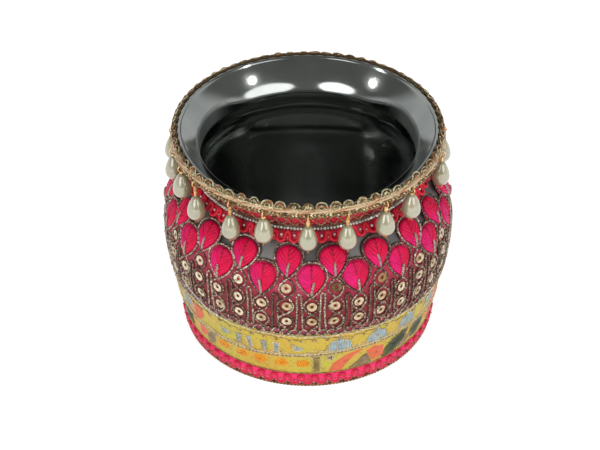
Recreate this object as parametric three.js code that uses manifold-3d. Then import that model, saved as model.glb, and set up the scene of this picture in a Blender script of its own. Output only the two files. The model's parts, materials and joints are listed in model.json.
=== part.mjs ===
// A small steel lota dressed for a ritual: a pressed sheet-steel pot with textile trims round it
// and glass-like pearl drops hanging from the braid on its lip.
// Millimetres, +Z up. The origin is the centre of the flat base, on the table, and -Y is the front.

import * as THREE from 'three';
import { mergeVertices } from 'three/addons/utils/BufferGeometryUtils.js';
import Module from 'manifold-3d';

const wasm = await Module();
wasm.setup();

// Steel pot, sizes of its outside
const POT_HEIGHT = 85.2; // table to the crown of the lip
const WALL = 0.7; // sheet thickness
const BASE_FLAT_RADIUS = 43; // flat disc that rests on the table
const BASE_CORNER = 3.6; // corner radius between base and flank
const BELLY_RADIUS = 52.9;
const BELLY_Z = 44;
const NECK_RADIUS = 40.8;
const NECK_DEPTH = 9.8; // crown of the lip down to where the neck starts to flare
const NECK_HEIGHT = 3.6; // straight part between the shoulder and the flare
const LIP_OVERHANG = 7.1; // neck out to the outside of the turned-down lip
const LIP_BEND = 0.95; // outer radius of the bend at the crown
const LIP_SKIRT = 3.1; // crown to the cut edge of the turned-down lip
const FLARE_SLOPE = THREE.MathUtils.degToRad(40); // of the flare where it meets the lip

// Clearances
const SEAT_GAP = 0.3; // between a textile piece and what it is glued to
const TRIM_GAP = 0.4; // between two trims that lie edge to edge
const PIN_PLAY = 0.1; // between a pearl's bore and its pin, and at the pearl's two ends

// Gold cord and pink gimp braid round the base
const EDGING_RADIUS = 0.5;
const EDGING_LIFT = 0.3; // table to the underside of the gold cord
const BASE_BRAID_Z = 2;
const BASE_BRAID_WIDTH = 5;
const BRAID_THICKNESS = 1.1;
const BRAID_LOBE = 0.35; // how far a gimp loop stands out and widens the braid
const BRAID_PITCH = 4.9; // loop to loop

// Brocade band and embroidered net
const CLOTH = 0.6; // thickness of the brocade and of the net with its cords
const BROCADE_WIDTH = 21.5;
const NET_TOP_DROP = 13.6; // top of the shoulder down to the cloth edge between the petals
const PETAL_COUNT = 19; // in each of the two rows
// tipDrop is from the top of the shoulder down to a petal's tip
const LOWER_PETAL = { tipDrop: 24, height: 11.4, width: 10.2, azimuth: 0.9 };
const UPPER_PETAL = { tipDrop: 17.2, height: 9.6, width: 9.6, azimuth: -8.5 };
const PETAL_EDGE = 0.3; // height of a petal's rim above the net
const PETAL_CROWN = 0.55; // height of its middle above its rim

// Neck trims, from the shoulder up
const NECK_BRAID_RISE = 0.8; // from the tops of the upper petals to the braid's lower edge
const NECK_BRAID_WIDTH = 3.6;
const CRYSTAL_RADIUS = 0.55;
const LACE_WIDTH = 6.6;

// Rim braid with its scallops, its peach cord and the edge cord that the drops hang from
const RIM_BRAID_THICKNESS = 0.8;
const SCALLOP_PITCH = 4.85;
const SCALLOP_HEIGHT = 0.95; // tip above the notch between two scallops
const SCALLOP_REACH = 1.2; // how far a scallop leans in over the crown
const PEACH_CORD_HEIGHT = 1.8;
const PEACH_CORD_DEPTH = 0.95;
const EDGE_CORD_RADIUS = 0.5;
const HANG_OUTSET = 0.6; // braid's face out to the centre line of the edge cord
const HANG_DEPTH = 4.7; // crown of the lip down to that centre line

// Pearl drops, the pin hanging straight down from the middle of its eye
const DROP_COUNT = 22;
const WIRE_RADIUS = 0.25;
const EYE_RADIUS = 1.25; // centre of the eye to the middle of its wire
const WRAP_RADIUS = 0.7;
const WRAP_LENGTH = 2.4;
const SHANK_RADIUS = 0.32;
const TAIL_RADIUS = 0.6; // centre of the tail loop to the middle of its wire
const PEARL_RADIUS = 3.25;
const PEARL_LENGTH = 9.8;
const PEARL_NECK = 0.36; // radius at the top end, as a share of PEARL_RADIUS
const PEARL_WIDEST = 0.66; // where the pearl is widest, as a share of its length
const DROP_CLEARANCE = 0.5; // least room between two neighbouring pearls

// Spare room after each drop, in degrees beside its neighbours: the drops were sewn on by eye
const DROP_SLACK = [8, 9, 6, 21, 10, 8, 7, 8, 9, 7, 8, 6, 8, 9, 7, 8, 7, 5, 4, 12, 7, 10];

// Facets round the axis
const TURN_STEPS = 36;
const CORD_STEPS = 56;

const { degToRad } = THREE.MathUtils;

// Removes normals and texture coordinates and joins equal corners
function welded(geometry) {
  const bare = geometry.clone();
  bare.deleteAttribute('normal');
  bare.deleteAttribute('uv');
  return mergeVertices(bare, 1e-5);
}

// Turns the faces of a closed indexed geometry outwards if they all point in
function facingOut(geometry) {
  const position = geometry.getAttribute('position');
  const index = geometry.getIndex();
  const [a, b, c] = [new THREE.Vector3(), new THREE.Vector3(), new THREE.Vector3()];
  let volume = 0;
  for (let i = 0; i < index.count; i += 3) {
    a.fromBufferAttribute(position, index.getX(i));
    b.fromBufferAttribute(position, index.getX(i + 1));
    c.fromBufferAttribute(position, index.getX(i + 2));
    volume += a.dot(b.cross(c));
  }
  if (volume < 0) {
    for (let i = 0; i < index.count; i += 3) {
      const first = index.getX(i);
      index.setX(i, index.getX(i + 2));
      index.setX(i + 2, first);
    }
  }
  return geometry;
}

function toSolid(geometry) {
  const closed = welded(geometry);
  const index = closed.getIndex().array;
  const triangles = [];
  for (let i = 0; i < index.length; i += 3) {
    const [a, b, c] = [index[i], index[i + 1], index[i + 2]];
    if (a !== b && b !== c && c !== a) triangles.push(a, b, c);
  }
  const outside = new THREE.BufferGeometry();
  outside.setAttribute('position', closed.getAttribute('position'));
  outside.setIndex(triangles);
  facingOut(outside);
  const mesh = new wasm.Mesh({
    numProp: 3,
    vertProperties: new Float32Array(outside.getAttribute('position').array),
    triVerts: new Uint32Array(outside.getIndex().array),
  });
  return new wasm.Manifold(mesh);
}

function toGeometry(solid) {
  const { vertProperties, triVerts, numProp } = solid.getMesh();
  const positions = [];
  for (let i = 0; i < vertProperties.length; i += numProp) {
    positions.push(vertProperties[i], vertProperties[i + 1], vertProperties[i + 2]);
  }
  const geometry = new THREE.BufferGeometry();
  geometry.setAttribute('position', new THREE.Float32BufferAttribute(positions, 3));
  geometry.setIndex(Array.from(triVerts));
  geometry.computeVertexNormals();
  return geometry;
}

function joined(geometries) {
  const solids = geometries.map(toSolid);
  return solids.slice(1).reduce((sum, solid) => sum.add(solid), solids[0]);
}

// Solid of revolution about Z from [radius, height] points that start and end on the axis
// or close on themselves
function revolved(points, steps = TURN_STEPS) {
  const profile = points.map(([radius, z]) => new THREE.Vector2(radius, z));
  const geometry = new THREE.LatheGeometry(profile, steps);
  geometry.rotateX(Math.PI / 2);
  return facingOut(welded(geometry));
}

function closedRing(points, steps) {
  return revolved([...points, points[0]], steps);
}

// Closed ring whose section changes round the axis: sectionAt(step) gives [radius, height] points
function sweptRing(steps, sectionAt) {
  const positions = [];
  const indices = [];
  const size = sectionAt(0).length;
  for (let step = 0; step < steps; step += 1) {
    const angle = (2 * Math.PI * step) / steps;
    const next = (step + 1) % steps;
    sectionAt(step).forEach(([radius, z], i) => {
      const j = (i + 1) % size;
      const corners = [step * size + i, next * size + i, next * size + j, step * size + j];
      positions.push(radius * Math.sin(angle), -radius * Math.cos(angle), z);
      indices.push(corners[0], corners[1], corners[2], corners[0], corners[2], corners[3]);
    });
  }
  const geometry = new THREE.BufferGeometry();
  geometry.setAttribute('position', new THREE.Float32BufferAttribute(positions, 3));
  geometry.setIndex(indices);
  return facingOut(geometry);
}

// The sheet's outside from the base to the flare, as points with their outward normals

const footRadius = BASE_FLAT_RADIUS + BASE_CORNER;
const neckZ = POT_HEIGHT - NECK_DEPTH;
const shoulderZ = neckZ - NECK_HEIGHT;
const lipRadius = NECK_RADIUS + LIP_OVERHANG;
const crownCentre = new THREE.Vector2(lipRadius - LIP_BEND, POT_HEIGHT - LIP_BEND);
const flareDirection = new THREE.Vector2(Math.cos(FLARE_SLOPE), Math.sin(FLARE_SLOPE));
const flareTop = new THREE.Vector2(-flareDirection.y, flareDirection.x)
  .multiplyScalar(LIP_BEND - WALL)
  .add(crownCentre);

// Control point between two heights, at a share of the way from one to the other
const between = (radius, from, to, share) => new THREE.Vector2(radius, from + share * (to - from));

const flank = new THREE.CubicBezierCurve(
  new THREE.Vector2(footRadius, BASE_CORNER),
  between(footRadius + 0.37 * (BELLY_RADIUS - footRadius), BASE_CORNER, BELLY_Z, 0.33),
  between(BELLY_RADIUS, BASE_CORNER, BELLY_Z, 0.73),
  new THREE.Vector2(BELLY_RADIUS, BELLY_Z),
);
const shoulder = new THREE.CubicBezierCurve(
  new THREE.Vector2(BELLY_RADIUS, BELLY_Z),
  between(BELLY_RADIUS, BELLY_Z, shoulderZ, 0.68),
  between(NECK_RADIUS, BELLY_Z, shoulderZ, 0.73),
  new THREE.Vector2(NECK_RADIUS, shoulderZ),
);
const flare = new THREE.CubicBezierCurve(
  new THREE.Vector2(NECK_RADIUS, neckZ),
  between(NECK_RADIUS, neckZ, flareTop.y, 0.36),
  flareTop.clone().addScaledVector(flareDirection, -0.5 * (flareTop.y - neckZ)),
  flareTop,
);

function sampled(curve, pieces) {
  return Array.from({ length: pieces }, (_, i) => {
    const at = (i + 1) / pieces;
    const point = curve.getPoint(at);
    const along = curve.getTangent(at);
    return { r: point.x, z: point.y, nr: along.y, nz: -along.x };
  });
}

function baseCorner(pieces) {
  return Array.from({ length: pieces + 1 }, (_, i) => {
    const angle = (i / pieces - 1) * (Math.PI / 2);
    const [nr, nz] = [Math.cos(angle), Math.sin(angle)];
    return { r: BASE_FLAT_RADIUS + BASE_CORNER * nr, z: BASE_CORNER * (1 + nz), nr, nz };
  });
}

const neck = new THREE.LineCurve(shoulder.v3, flare.v0);

const outside = [
  ...baseCorner(2),
  ...sampled(flank, 3),
  ...sampled(shoulder, 5),
  ...sampled(neck, 1),
  ...sampled(flare, 3),
];

const offsetPoint = ({ r, z, nr, nz }, offset) => [r + nr * offset, z + nz * offset];

// The outside at a height, between the two nearest sampled points
function outsideAt(z) {
  const upper = Math.max(1, outside.findIndex((point) => point.z >= z));
  const [low, high] = [outside[upper - 1], outside[upper]];
  const share = (z - low.z) / (high.z - low.z);
  const mix = (key) => low[key] + share * (high[key] - low[key]);
  return { r: mix('r'), z, nr: mix('nr'), nz: mix('nz') };
}

// Sampled points well inside two heights, from the lower up
const pointsBetween = (from, to) => outside.filter(({ z }) => z > from + 0.2 && z < to - 0.2);

// Section of a cloth that lies on the pot between two heights
function clothSection(from, to, inner, outer) {
  const line = [outsideAt(from), ...pointsBetween(from, to), outsideAt(to)];
  return [
    ...line.map((point) => offsetPoint(point, outer)),
    ...line.reverse().map((point) => offsetPoint(point, inner)),
  ];
}

function arcPoints(centre, radius, from, to, pieces) {
  return Array.from({ length: pieces + 1 }, (_, i) => {
    const angle = from + ((to - from) * i) / pieces;
    return [centre.x + radius * Math.cos(angle), centre.y + radius * Math.sin(angle)];
  });
}

// Base, flank, shoulder, neck and flare of one sheet, turned down at the lip
function potShell() {
  const bendStart = Math.PI / 2 + FLARE_SLOPE;
  const skirtEdge = POT_HEIGHT - LIP_SKIRT;
  const underLip = arcPoints(crownCentre, LIP_BEND - WALL, bendStart, 0, 2).slice(1);
  const overLip = arcPoints(crownCentre, LIP_BEND, 0, bendStart, 3);
  const inside = outside.slice(0, -1).reverse().map((point) => offsetPoint(point, -WALL));
  return revolved([
    [0, 0],
    ...outside.map((point) => offsetPoint(point, 0)),
    ...underLip,
    [lipRadius - WALL, skirtEdge],
    [lipRadius, skirtEdge],
    ...overLip,
    ...inside,
    [0, WALL],
  ]);
}

// Pink gimp braid: a band on the pot whose loops stand out and reach past its edges
function gimpBraid(from, width) {
  const loops = Math.round((2 * Math.PI * outsideAt(from + width / 2).r) / BRAID_PITCH);
  const seat = pointsBetween(from + BRAID_LOBE, from + width - BRAID_LOBE).reverse();
  const sectionAt = (step) => {
    const lobe = step % 2 === 0 ? BRAID_LOBE : 0;
    const [low, high] = [from + BRAID_LOBE - lobe, from + width - BRAID_LOBE + lobe];
    const face = SEAT_GAP + BRAID_THICKNESS + lobe - BRAID_LOBE;
    return [
      offsetPoint(outsideAt(low), SEAT_GAP),
      offsetPoint(outsideAt(low + width / 6), face),
      offsetPoint(outsideAt(high - width / 6), face),
      offsetPoint(outsideAt(high), SEAT_GAP),
      ...seat.map((point) => offsetPoint(point, SEAT_GAP)),
    ];
  };
  return sweptRing(2 * loops, sectionAt);
}

// Twisted gold cord that lies in the corner under the base braid
function baseEdging() {
  const reach = BASE_CORNER + SEAT_GAP + EDGING_RADIUS;
  const z = EDGING_LIFT + EDGING_RADIUS;
  const radius = BASE_FLAT_RADIUS + Math.sqrt(reach ** 2 - (BASE_CORNER - z) ** 2);
  const section = arcPoints(new THREE.Vector2(radius, z), EDGING_RADIUS, 0, (2 * Math.PI * 5) / 6, 5);
  return closedRing(section);
}

// Corners of a petal seen flat, the tip at [0, 0] and the top at [0, 1], as shares of its size
const PETAL_OUTLINE = [[0, 0], [0.46, 0.48], [0.4, 0.86], [0, 1], [-0.4, 0.86], [-0.46, 0.48]];
const PETAL_MIDDLE = [0, 0.62];

// One padded satin-stitch petal, bent to the pot's outside
function petal({ tipDrop, height, width }, azimuth) {
  const floor = SEAT_GAP + CLOTH / 2;
  const rim = SEAT_GAP + CLOTH + PETAL_EDGE;
  const cornerAt = ([x, y], lift) => {
    const { r, z, nr, nz } = outsideAt(shoulderZ - tipDrop + y * height);
    const angle = azimuth + (x * width) / r;
    const radius = r + nr * lift;
    return [radius * Math.sin(angle), -radius * Math.cos(angle), z + nz * lift];
  };
  const inward = ([x, y]) => [x * 0.6, PETAL_MIDDLE[1] + (y - PETAL_MIDDLE[1]) * 0.6];
  const inner = PETAL_OUTLINE.map(inward);
  const count = PETAL_OUTLINE.length;
  const positions = [
    cornerAt(PETAL_MIDDLE, floor),
    ...inner.map((corner) => cornerAt(corner, floor)),
    ...PETAL_OUTLINE.map((corner) => cornerAt(corner, floor)),
    ...PETAL_OUTLINE.map((corner) => cornerAt(corner, rim)),
    ...inner.map((corner) => cornerAt(corner, rim + 0.8 * PETAL_CROWN)),
    cornerAt(PETAL_MIDDLE, rim + PETAL_CROWN),
  ];
  const crown = 4 * count + 1;
  const indices = [];
  for (let i = 0; i < count; i += 1) {
    const [here, next] = [1 + i, 1 + ((i + 1) % count)];
    indices.push(0, next, here);
    for (const ring of [0, count, 2 * count]) {
      const [low, lowNext, high, highNext] = [here + ring, next + ring, here + ring + count, next + ring + count];
      indices.push(low, lowNext, highNext, low, highNext, high);
    }
    indices.push(here + 3 * count, next + 3 * count, crown);
  }
  const geometry = new THREE.BufferGeometry();
  geometry.setAttribute('position', new THREE.Float32BufferAttribute(positions.flat(), 3));
  geometry.setIndex(indices);
  return geometry;
}

const netFoot = BASE_BRAID_Z + BASE_BRAID_WIDTH + TRIM_GAP + BROCADE_WIDTH + TRIM_GAP;
const netTop = shoulderZ - NET_TOP_DROP;

// Net with its couched cords, and the two rows of petals stitched on it
function embroideredNet() {
  const cloth = closedRing(clothSection(netFoot, netTop, SEAT_GAP, SEAT_GAP + CLOTH));
  const petals = [];
  for (let i = 0; i < PETAL_COUNT; i += 1) {
    for (const row of [LOWER_PETAL, UPPER_PETAL]) {
      petals.push(petal(row, degToRad(row.azimuth + (360 * i) / PETAL_COUNT)));
    }
  }
  return toGeometry(joined([cloth, ...petals]));
}

function brocadeBand() {
  const from = BASE_BRAID_Z + BASE_BRAID_WIDTH + TRIM_GAP;
  return closedRing(clothSection(from, from + BROCADE_WIDTH, SEAT_GAP, SEAT_GAP + CLOTH));
}

const neckBraidZ = shoulderZ - UPPER_PETAL.tipDrop + UPPER_PETAL.height + NECK_BRAID_RISE;
const crystalZ = neckBraidZ + NECK_BRAID_WIDTH + TRIM_GAP + CRYSTAL_RADIUS;

function crystalChain() {
  const [radius, z] = offsetPoint(outsideAt(crystalZ), SEAT_GAP + CRYSTAL_RADIUS);
  const section = arcPoints(new THREE.Vector2(radius, z), CRYSTAL_RADIUS, 0, (2 * Math.PI * 4) / 5, 4);
  return closedRing(section, CORD_STEPS);
}

function latticeLace() {
  const from = crystalZ + CRYSTAL_RADIUS + TRIM_GAP;
  return closedRing(clothSection(from, from + LACE_WIDTH, SEAT_GAP, SEAT_GAP + CLOTH));
}

const braidInside = lipRadius + SEAT_GAP;
const braidFace = braidInside + RIM_BRAID_THICKNESS;
const hangRadius = braidFace + HANG_OUTSET;
const hangZ = POT_HEIGHT - HANG_DEPTH;
const eyeReach = EYE_RADIUS + WIRE_RADIUS;
const bandFoot = hangZ + eyeReach + SEAT_GAP;

// Scalloped braid over the lip, with windows above its edge cord for the eyes of the pins
function rimBraid(azimuths) {
  const scallops = Math.round((2 * Math.PI * (lipRadius + RIM_BRAID_THICKNESS)) / SCALLOP_PITCH);
  const notchZ = POT_HEIGHT + SEAT_GAP + 0.15;
  const sectionAt = (step) => {
    const share = step % 2 === 0 ? 1 : 0;
    return [
      [hangRadius, hangZ - EDGE_CORD_RADIUS],
      [hangRadius + EDGE_CORD_RADIUS, hangZ],
      [braidFace, bandFoot + SEAT_GAP],
      [braidFace, POT_HEIGHT - LIP_BEND],
      [braidFace - share * SCALLOP_REACH / 2, notchZ + share * SCALLOP_HEIGHT],
      [braidInside - share * SCALLOP_REACH, notchZ + share * SCALLOP_HEIGHT / 2],
      [braidInside, POT_HEIGHT - LIP_BEND / 3],
      [braidInside, bandFoot],
      [hangRadius - EDGE_CORD_RADIUS / 2, hangZ + EDGE_CORD_RADIUS],
      [hangRadius - EDGE_CORD_RADIUS, hangZ],
    ];
  };
  const windowHeight = bandFoot - hangZ - EDGE_CORD_RADIUS;
  const window = new THREE.BoxGeometry(2 * (WIRE_RADIUS + SEAT_GAP), 6, windowHeight);
  window.translate(0, -hangRadius, hangZ + EDGE_CORD_RADIUS + windowHeight / 2);
  const windows = azimuths.map((azimuth) => window.clone().rotateZ(azimuth));
  return toGeometry(toSolid(sweptRing(2 * scallops, sectionAt)).subtract(joined(windows)));
}

// Peach cord couched along the middle of the rim braid
function peachCord() {
  const middle = (bandFoot + SEAT_GAP + POT_HEIGHT - LIP_BEND) / 2;
  const [low, high] = [middle - PEACH_CORD_HEIGHT / 2, middle + PEACH_CORD_HEIGHT / 2];
  const inner = braidFace + SEAT_GAP;
  return closedRing([
    [inner, low],
    [inner + PEACH_CORD_DEPTH, low + PEACH_CORD_HEIGHT / 4],
    [inner + PEACH_CORD_DEPTH, high - PEACH_CORD_HEIGHT / 4],
    [inner, high],
  ], CORD_STEPS);
}

const wrapFoot = -EYE_RADIUS - WRAP_LENGTH;
const pearlTop = wrapFoot - PIN_PLAY;
const pearlFoot = pearlTop - PEARL_LENGTH;
const tailCentre = pearlFoot - PIN_PLAY - WIRE_RADIUS - TAIL_RADIUS;

// Eye, wire wrap, shank and tail loop of one pin, bent from one wire, the eye round the origin
function dropPin() {
  const eye = new THREE.TorusGeometry(EYE_RADIUS, WIRE_RADIUS, 4, 8).rotateY(Math.PI / 2);
  const tail = new THREE.TorusGeometry(TAIL_RADIUS, WIRE_RADIUS, 3, 7).rotateY(Math.PI / 2);
  const shank = revolved([
    [0, -EYE_RADIUS],
    [WRAP_RADIUS, -EYE_RADIUS - WRAP_LENGTH * 0.3],
    [WRAP_RADIUS, wrapFoot],
    [SHANK_RADIUS, wrapFoot],
    [SHANK_RADIUS, pearlFoot - PIN_PLAY / 2],
    [0, tailCentre + TAIL_RADIUS],
  ], 5);
  return toGeometry(joined([eye, shank, tail.translate(0, 0, tailCentre)]));
}

// Drilled teardrop, its narrow end up, hanging below the origin as the pin does
function dropPearl() {
  const sides = 7;
  const bore = (SHANK_RADIUS + PIN_PLAY) / Math.cos(Math.PI / sides);
  const radiusAt = (share) => {
    if (share < PEARL_WIDEST) {
      return PEARL_RADIUS * (PEARL_NECK + (1 - PEARL_NECK) * Math.sin((Math.PI / 2) * (share / PEARL_WIDEST)));
    }
    const below = (share - PEARL_WIDEST) / (1 - PEARL_WIDEST);
    return PEARL_RADIUS * Math.sqrt(1 - (0.95 * below) ** 2);
  };
  const stations = [0, 0.33, PEARL_WIDEST, 0.88, 1];
  const surface = stations.map((share) => [radiusAt(share), pearlTop - share * PEARL_LENGTH]);
  return closedRing([[bore, pearlTop], ...surface, [bore, pearlFoot]], sides);
}

// Azimuths of the drops: each neighbour gets its own width and its part of the room left over
function dropAzimuths() {
  const own = 2 * Math.asin((PEARL_RADIUS + DROP_CLEARANCE / 2) / hangRadius);
  const spare = 2 * Math.PI - DROP_COUNT * own;
  const slack = Array.from({ length: DROP_COUNT }, (_, i) => DROP_SLACK[i % DROP_SLACK.length]);
  const total = slack.reduce((sum, value) => sum + value, 0);
  let azimuth = 0;
  return slack.map((value) => {
    const here = azimuth;
    azimuth += own + (spare * value) / total;
    return here;
  });
}

// Materials and assembly

function material(color, roughness, metalness = 0) {
  return new THREE.MeshStandardMaterial({ color, roughness, metalness });
}

const steel = material(0xa9adb0, 0.22, 1);
const zari = material(0xb79a5e, 0.4, 0.6);
const peach = material(0xd6a57a, 0.6);
const pinkSilk = material(0xd81e5b, 0.55);
const netCloth = material(0x7d1932, 0.8);
const brocade = material(0xc9b54b, 0.65);
const redLace = material(0xb02a45, 0.7);
const crystal = material(0xd9dde2, 0.1, 0.3);
const pearlFinish = material(0xd2d0bd, 0.25);
const goldWire = material(0xb98a4a, 0.3, 0.9);

const lota = new THREE.Group();
lota.name = 'lota';

function add(parent, name, geometry, finish) {
  const mesh = new THREE.Mesh(geometry, finish);
  mesh.name = name;
  parent.add(mesh);
  return mesh;
}

const azimuths = dropAzimuths();

add(lota, 'pot_shell', potShell(), steel);
add(lota, 'base_gold_edging', baseEdging(), zari);
add(lota, 'base_gimp_braid', gimpBraid(BASE_BRAID_Z, BASE_BRAID_WIDTH), pinkSilk);
add(lota, 'brocade_band', brocadeBand(), brocade);
add(lota, 'embroidered_net', embroideredNet(), netCloth);
add(lota, 'neck_gimp_braid', gimpBraid(neckBraidZ, NECK_BRAID_WIDTH), pinkSilk);
add(lota, 'neck_crystal_chain', crystalChain(), crystal);
add(lota, 'neck_lattice_lace', latticeLace(), redLace);
add(lota, 'rim_braid', rimBraid(azimuths), zari);
add(lota, 'rim_peach_cord', peachCord(), peach);

const pinGeometry = dropPin();
const pearlGeometry = dropPearl();
azimuths.forEach((azimuth, i) => {
  const place = new THREE.Group();
  place.rotation.z = azimuth;
  const drop = new THREE.Group();
  drop.position.set(0, -hangRadius, hangZ);
  const number = String(i + 1).padStart(2, '0');
  add(drop, `drop_pin_${number}`, pinGeometry, goldWire);
  add(drop, `drop_pearl_${number}`, pearlGeometry, pearlFinish);
  place.add(drop);
  lota.add(place);
});

export default lota;
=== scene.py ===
# Dressed steel lota: looks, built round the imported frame. Shapes are written in millimetres on the
# pot's outside (azimuth from the front, height, lift along the surface normal) and scaled to metres.
import json
import math

import bmesh
import bpy
import numpy as np
from mathutils import Matrix, Vector


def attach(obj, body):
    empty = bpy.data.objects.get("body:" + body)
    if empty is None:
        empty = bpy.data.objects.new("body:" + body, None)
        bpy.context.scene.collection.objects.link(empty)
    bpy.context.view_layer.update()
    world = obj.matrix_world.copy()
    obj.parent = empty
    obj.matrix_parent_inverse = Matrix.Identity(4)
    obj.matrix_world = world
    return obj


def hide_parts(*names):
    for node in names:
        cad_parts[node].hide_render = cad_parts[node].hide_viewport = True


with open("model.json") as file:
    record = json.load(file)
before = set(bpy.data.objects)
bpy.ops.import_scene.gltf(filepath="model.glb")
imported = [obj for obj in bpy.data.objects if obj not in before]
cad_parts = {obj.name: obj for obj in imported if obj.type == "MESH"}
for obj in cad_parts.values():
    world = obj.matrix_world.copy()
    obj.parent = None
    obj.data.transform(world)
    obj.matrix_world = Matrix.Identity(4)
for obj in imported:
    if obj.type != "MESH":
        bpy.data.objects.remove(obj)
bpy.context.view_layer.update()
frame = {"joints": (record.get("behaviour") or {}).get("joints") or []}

MM = 0.001
TAU = 2 * math.pi
scene = bpy.context.scene
rng = np.random.default_rng(11)

# camera, fitted to the pot's outline in the photo
FOCAL_PX, IMAGE_W, SENSOR = 1719.9, 600, 36.0
SHIFT_X_PX, SHIFT_Y_PX = -8.0, -9.2
CAMERA_ELEVATION = math.radians(37.43)
CAMERA_DISTANCE, AIM_HEIGHT = 0.650, 0.0433


def add_camera():
    data = bpy.data.cameras.new("camera")
    data.sensor_fit = "HORIZONTAL"
    data.sensor_width = SENSOR
    data.lens = FOCAL_PX * SENSOR / IMAGE_W
    data.shift_x, data.shift_y = SHIFT_X_PX / IMAGE_W, SHIFT_Y_PX / IMAGE_W
    data.clip_start, data.clip_end = 0.01, 50
    camera = bpy.data.objects.new("camera", data)
    scene.collection.objects.link(camera)
    back, up = math.cos(CAMERA_ELEVATION), math.sin(CAMERA_ELEVATION)
    camera.location = (0, -CAMERA_DISTANCE * back, AIM_HEIGHT + CAMERA_DISTANCE * up)
    camera.rotation_euler = (math.pi / 2 - CAMERA_ELEVATION, 0, 0)
    scene.camera = camera


add_camera()

# profile of the pot's outside
POT_HEIGHT, WALL = 85.2, 0.7
BASE_FLAT, BASE_CORNER = 43.0, 3.6
BELLY_R, BELLY_Z = 52.9, 44.0
NECK_R, SHOULDER_Z, NECK_Z = 40.8, 71.8, 75.4
LIP_R, LIP_BEND, LIP_SKIRT = 47.9, 0.95, 3.1
FLARE = math.radians(40)
# how far the handles of its curves reach, as shares of the curves' sizes
FLANK_PULL, SHOULDER_PULL, FLARE_PULL = (0.37, 0.33, 0.73), (0.68, 0.73), (0.36, 0.5)


def bezier(p0, p1, p2, p3, n):
    """Points and outward normals of a cubic curve, its start left out."""
    t = np.linspace(0, 1, n + 1)[1:, None]
    p0, p1, p2, p3 = (np.array(p, float) for p in (p0, p1, p2, p3))
    point = (1 - t) ** 3 * p0 + 3 * (1 - t) ** 2 * t * p1 + 3 * (1 - t) * t**2 * p2 + t**3 * p3
    along = (1 - t) ** 2 * (p1 - p0) + 2 * (1 - t) * t * (p2 - p1) + t**2 * (p3 - p2)
    along /= np.linalg.norm(along, axis=1)[:, None]
    return point, np.stack([along[:, 1], -along[:, 0]], 1)


foot_r = BASE_FLAT + BASE_CORNER
flank, shoulder = BELLY_Z - BASE_CORNER, SHOULDER_Z - BELLY_Z
crown = np.array([LIP_R - LIP_BEND, POT_HEIGHT - LIP_BEND])
flare_dir = np.array([math.cos(FLARE), math.sin(FLARE)])
flare_top = crown + (LIP_BEND - WALL) * np.array([-flare_dir[1], flare_dir[0]])
flare_rise = flare_top[1] - NECK_Z
corner_angle = np.linspace(-math.pi / 2, 0, 11)
corner_n = np.stack([np.cos(corner_angle), np.sin(corner_angle)], 1)
corner_p = np.array([BASE_FLAT, BASE_CORNER]) + BASE_CORNER * corner_n
neck_p = np.array([[NECK_R, SHOULDER_Z + 1.2], [NECK_R, SHOULDER_Z + 2.4], [NECK_R, NECK_Z]])
profile_parts = [
    (corner_p, corner_n),
    bezier((foot_r, BASE_CORNER),
           (foot_r + FLANK_PULL[0] * (BELLY_R - foot_r), BASE_CORNER + FLANK_PULL[1] * flank),
           (BELLY_R, BASE_CORNER + FLANK_PULL[2] * flank), (BELLY_R, BELLY_Z), 40),
    bezier((BELLY_R, BELLY_Z), (BELLY_R, BELLY_Z + SHOULDER_PULL[0] * shoulder),
           (NECK_R, BELLY_Z + SHOULDER_PULL[1] * shoulder), (NECK_R, SHOULDER_Z), 44),
    (neck_p, np.tile([1.0, 0.0], (len(neck_p), 1))),
    bezier((NECK_R, NECK_Z), (NECK_R, NECK_Z + FLARE_PULL[0] * flare_rise),
           flare_top - FLARE_PULL[1] * flare_rise * flare_dir, flare_top, 26),
]
outside = np.concatenate([p for p, _ in profile_parts])
outside_n = np.concatenate([n for _, n in profile_parts])
OUT_R, OUT_Z = outside[:, 0], outside[:, 1]
OUT_NR, OUT_NZ = outside_n[:, 0], outside_n[:, 1]


def radius_at(z):
    return np.interp(z, OUT_Z, OUT_R)


def turned(az, r, z):
    """Radii and heights turned about the axis to azimuths in radians."""
    return np.stack([r * np.sin(az), -r * np.cos(az), z], -1)


def on_pot(az, z, lift=0.0):
    """Points at azimuths in degrees, heights and lifts in mm, and their outward normals."""
    az, z, lift = np.broadcast_arrays(np.radians(np.asarray(az, float)), np.asarray(z, float), lift)
    nr, nz = np.interp(z, OUT_Z, OUT_NR), np.interp(z, OUT_Z, OUT_NZ)
    return turned(az, radius_at(z) + nr * lift, z + nz * lift), turned(az, nr, nz)


def on_ring(az, r, z):
    """Points and outward normals on a cylinder or ring round the axis."""
    az, r, z = np.broadcast_arrays(np.radians(np.asarray(az, float)), r, z)
    return turned(az, r, z), turned(az, 1.0, 0 * az)


def beside(az0, x, z):
    """Azimuth of a point that lies x mm to the right of azimuth az0 on the pot."""
    return az0 + np.degrees(x / radius_at(z))


def around(steps):
    """Azimuths of a closed ring."""
    return np.linspace(0, 360, steps, endpoint=False)


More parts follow.
